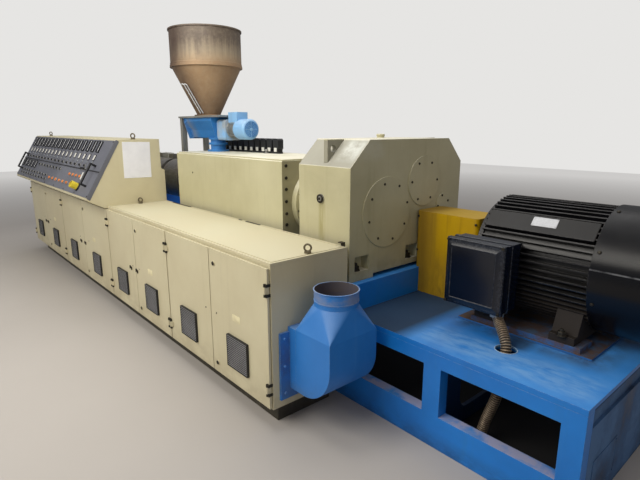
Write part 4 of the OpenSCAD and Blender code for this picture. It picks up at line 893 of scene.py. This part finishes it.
# Heater bands: a terminal cover on top and two clamps on the far side of each.
bandMiddles = -563.5 - 377.0 * np.arange(6)
bandPieces = {
    "band_covers": (zincMetal, upward, [(assembled, ([
        (slab, (130, 62, 6, -5, 40, 4, 44), origin), (socketScrew, (5, 4), [(-52, 0, 44), (52, 0, 44)])],),
        [(x, -200.0, 1166.0) for x in bandMiddles])]),
    "band_clamps": (darkMetal, (0.0, 1.0, 0.0), [(assembled, ([
        (slab, (34, 54, 4, -4, 20, 2, 22), origin), (socketScrew, (8, 30), origin)],),
        [(x + shift, -22.0, 988.0) for shift in (-100, 100) for x in bandMiddles])])}

# Blank plates on the skid's end and on the motor, there over a smooth strip that faces along motorTilt;
# breather on the gear case, duct trim, guard screws, the hopper's bracket rods and its weld.
motorTilt = np.array([0.0, -0.736, 0.677]) / np.linalg.norm([0.0, -0.736, 0.677])
stripPlace = np.array([2629.0, 175.0, 820.0]) + 283.0 * motorTilt
platePlace = stripPlace + np.array([24.0, 0.0, 0.0]) + motorTilt * 1.5 + np.cross(motorTilt, alongX) * 12.0
bracket = np.array([(-110, -421, 1776), (-46, -413, 1775), (-38, -408, 1767), (-32, -347, 1661), (-26, -286, 1556)],
                   float)
trimPieces = {
    "skid_blank_plate": (grimyShadedEnamel, alongX, [(assembled, ([
        (raised, (250, 165, 5, [(0, 0), (0, 1.6), (1, 2.4), (6, 2.4), (7, 1.4)]), origin),
        (pill, (6, 3, 0.6, 12), [(a, b, 1.2) for a in (-114, 114) for b in (-71, 71)])],),
        (3089.0, -280.0, 145.0))]),
    "motor_smooth_strip": (blackEnamel, motorTilt, [(slab, (500, 92, 5, -34, 0, 2, 1.5), stripPlace)]),
    "blank_rating_plate": (plateMetal, motorTilt, [(assembled, ([
        (slab, (114, 48, 3, 0, 1.2, 0.6, 1.8), origin),
        (pill, (3, 2, 0.5, 10), [(a, b, 1.4) for a in (-51, 51) for b in (-18, 18)])],), platePlace)]),
    "gear_breather": (caseEnamel, upward, [
        (turned, ([(24, -2), (24, 9), (27, 11), (27, 19), (24, 23), (8, 25)], 28), (1465.0, 174.0, 1380.0))]),
    "duct_trim": (ductEnamel, upward, [
        (turned, ([(105, 718), (108, 720), (108, 722.6), (104, 723), (103.6, 718)], 48, True), (2066.5, -764, 0)),
        (turned, ([(104, 668), (105.6, 669), (105.6, 674), (104, 675), (103.4, 671)], 48, True), (2066.5, -764, 0)),
        (placed, (pill(8, 7, 1.5, 6), [(1901, y, z) for y in (-942, -588) for z in (190, 330, 470)], alongX),
         origin)]),
    "guard_screws": (darkMetal, outward, [
        (pill, (7, 4, 1.2, 12), [(x, 55, z) for x in (1888, 2260) for z in (530, 740, 940)])]),
    "bracket_rod": (plateMetal, upward, [(pipe, (bracket, 4.5, 10), origin),
                                         (pipe, (bracket[1:] + (-13.0, -15.0, 0.0), 4.5, 10), origin)]),
    "cone_weld": (hopperSteel, upward, [(pipe, (coneLine(-1.9, (92, 1546), (271, 1912)), 2.0, 8), origin)])}


print("making pieces")
makeConsole()
makeDoors()
addPieces(casePieces)
makePaper()
makeMotor()
makeHopper()
for table in (feederPieces, bandPieces, trimPieces):
    addPieces(table)
print("pieces made")

floorLook = {"half": 16.0, "pale": "#BBB6B1", "warm": "#B0ABA6", "glow": "#E6E5E3", "glowFrom": (5.0, 14.0),
             "glowMost": 0.6, "rough": 0.85}


def makeFloor():
    # Plain pale floor: one flat sheet with a faint cloud in its colour, brighter far off like the backdrop.
    look = floorLook
    half = look["half"]
    mesh = bpy.data.meshes.new("floor")
    mesh.from_pydata([(-half, -half, 0), (half, -half, 0), (half, half, 0), (-half, half, 0)], [], [(0, 1, 2, 3)])
    material, tree, place = startMaterial("pale_floor")
    colour = blend(tree, patch(tree, place, 0.6, 4.0, 0.6), linear(look["warm"]), linear(look["pale"]))
    away = vectors(tree, "LENGTH", place)
    finishMaterial(tree, {"Base Color": colour, "Roughness": look["rough"], "Emission Color": linear(look["glow"]),
                          "Emission Strength": ramp(tree, away, *look["glowFrom"], 0.0, look["glowMost"])})
    mesh.materials.append(material)
    floor = bpy.data.objects.new("floor", mesh)
    bpy.context.scene.collection.objects.link(floor)


# Lamps in metres and watts: place, aim, size, power and colour.
lampLook = {
    "aisle_lamp": ((0.8, -4.2, 3.5), (0.3, -0.5, 0.7), (4.6, 2.0), 156.0, "#FFFAF0"),
    "console_lamp": ((1.5, -1.4, 2.9), (-0.3, -0.75, 1.1), (1.0, 1.0), 24.0, "#FFFCF6"),
    "hall_lamp": ((-0.6, 0.9, 5.4), (-0.2, 0.1, 0.6), (7.0, 4.0), 150.0, "#FFFDFA"),
    "motor_lamp": ((5.6, -1.2, 3.2), (2.0, -0.2, 0.6), (2.5, 2.5), 8.0, "#FFE2C6")}
skyLook = {"sky": "#E9E9EC", "strength": 0.3, "backdrop": "#E6E5E3"}


def makeLamp(name, place, aim, size, power, colour):
    # Rectangular soft lamp that looks at its aim point.
    data = bpy.data.lights.new(name, "AREA")
    data.shape, data.size, data.size_y, data.energy = "RECTANGLE", size[0], size[1], power
    data.color = linear(colour)[:3]
    lamp = bpy.data.objects.new(name, data)
    axes = frameOf(np.asarray(place, float) - np.asarray(aim, float))
    lamp.matrix_world = Matrix([[axes[0][i], axes[1][i], axes[2][i], place[i]] for i in range(3)] + [[0, 0, 0, 1]])
    bpy.context.scene.collection.objects.link(lamp)


def makeLight():
    # Even pale sky with a brighter backdrop for the camera, and the soft lamps.
    look = skyLook
    world = bpy.data.worlds.new("studio")
    bpy.context.scene.world = world
    world.use_nodes = True
    tree = world.node_tree
    tree.nodes.clear()
    rays = add(tree, "LightPath")
    sky = add(tree, "Background", {"Color": linear(look["sky"]), "Strength": look["strength"]})
    backdrop = add(tree, "Background", {"Color": linear(look["backdrop"]), "Strength": 1.0})
    mixed = add(tree, "MixShader", {0: rays.outputs["Is Camera Ray"], 1: sky.outputs[0],
                                              2: backdrop.outputs[0]})
    add(tree, "OutputWorld", {"Surface": mixed.outputs[0]})
    for name, values in lampLook.items():
        makeLamp(name, *values)


makeFloor()
makeLight()
bpy.context.scene.view_settings.view_transform = "Standard"
print("floor and light made")
